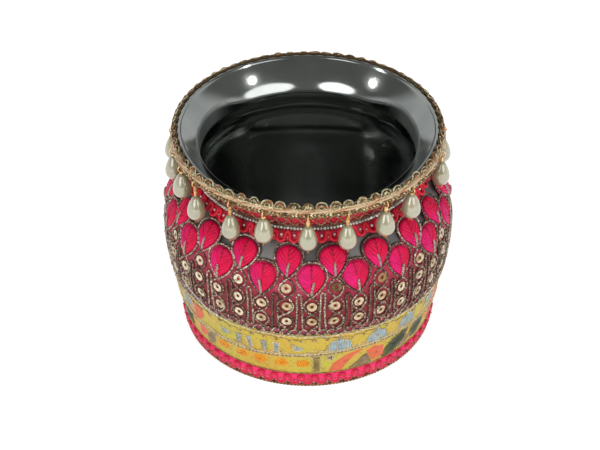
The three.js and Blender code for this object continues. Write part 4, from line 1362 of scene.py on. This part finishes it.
swings = {j["child"]: j for j in frame["joints"] if j["name"].startswith("swing_")}
for body, joint in sorted(swings.items()):
    number = body.split("_")[1]
    spot = np.array(joint["pos_m"]) / MM
    azimuth = math.atan2(spot[0], -spot[1])
    rise = HANG.get(int(number), rng.normal(0, 0.3))
    pin = placed(pin_soup(rng.uniform(0, 6), rise), spot, azimuth)
    make("drop_wire_" + number, pin, copper, ["drop_pin_" + number], body=body)
    pearl = placed(pearl_soup(rise, 1.03 + rng.normal(0, 0.012)), spot, azimuth)
    make("drop_bead_" + number, pearl, pearl_nacre, ["drop_pearl_" + number],
         body="pearl_" + number)

# floor, world and lights
scene.view_settings.view_transform = "Standard"
FLOOR_GLOW, FILL = 0.65, 0.34
BACKDROP, DARK_ROOM = (0.7, 0.71, 0.71, 1), (0.17, 0.172, 0.165, 1)


def seen(tree):
    """1 for rays from the camera, from metal and gloss, and through glass."""
    path = tree.node("LightPath").outputs
    shiny = tree.math("MAXIMUM", path["Is Glossy Ray"], path["Is Transmission Ray"])
    return tree.math("MAXIMUM", path["Is Camera Ray"], shiny)


def floor():
    bpy.ops.mesh.primitive_grid_add(x_subdivisions=8, y_subdivisions=8, size=12, location=(0, 0, -0.00005))
    plane = bpy.context.object
    plane.name = "floor"
    f = Finish("floor_white", Base_Color=(0.86, 0.86, 0.86, 1), Roughness=0.9, Specular_IOR_Level=0.0,
               Emission_Color=(1, 1, 1, 1))
    f.feed(f.shader.inputs["Emission Strength"], f.times(seen(f), FLOOR_GLOW))
    plane.data.materials.append(f.material)


def studio():
    """Metal sees a white backdrop behind and beside the pot and a dark room in front and above it, the
    camera sees plain white, and other rays get an even fill."""
    world = bpy.data.worlds.new("studio")
    scene.world = world
    world.use_nodes = True
    world.node_tree.nodes.clear()
    tree = Nodes(world.node_tree)
    _, y, z = tree.node("SeparateXYZ", Vector=tree.node("TexCoord").outputs["Generated"]).outputs
    ramp = tree.node("ValToRGB", Fac=tree.plus(z, tree.times(y, -0.45)))
    for element, at, colour in zip(ramp.color_ramp.elements, (0.32, 0.48), (BACKDROP, DARK_ROOM)):
        element.position, element.color = at, colour
    room = tree.node("Background", Color=ramp.outputs["Color"], Strength=1.0).outputs[0]
    fill = tree.node("Background", Color=(1, 1, 1, 1), Strength=FILL).outputs[0]
    white = tree.node("Background", Color=(1, 1, 1, 1), Strength=1.0).outputs[0]
    lit = tree.node("MixShader", i0=seen(tree), i1=fill, i2=room).outputs[0]
    camera_ray = tree.node("LightPath").outputs["Is Camera Ray"]
    surface = tree.node("MixShader", i0=camera_ray, i1=lit, i2=white).outputs[0]
    tree.node("OutputWorld", Surface=surface)


def around_pot(azimuth, elevation, distance):
    a, e = math.radians(azimuth), math.radians(elevation)
    flat = distance * math.cos(e)
    return (flat * math.sin(a), -flat * math.cos(a), LAMP_AIM[2] + distance * math.sin(e))


def lamp(name, place, aim, size, power, glossy=True):
    light = bpy.data.lights.new(name, "AREA")
    light.shape = "ELLIPSE"
    light.size, light.size_y = size
    light.energy = power
    obj = bpy.data.objects.new(name, light)
    scene.collection.objects.link(obj)
    obj.location = place
    obj.rotation_euler = (Vector(aim) - Vector(place)).to_track_quat("-Z", "Y").to_euler()
    obj.visible_glossy = glossy


LAMP_AIM = (0, 0, 0.06)
floor()
studio()
lamp("softbox_left", around_pot(-31, 23, 0.85), LAMP_AIM, (0.54, 0.6), 2.6)
lamp("softbox_right", around_pot(43, 23, 0.85), LAMP_AIM, (0.82, 0.6), 2.7)
lamp("spot_left", around_pot(-75, 42, 0.9), LAMP_AIM, (0.045, 0.045), 0.3)
lamp("spot_right", around_pot(65, 45, 0.9), LAMP_AIM, (0.045, 0.045), 0.3)
lamp("overhead", (0, -0.1, 1.5), (0, 0, 0.0), (1.3, 1.1), 1.2, glossy=False)
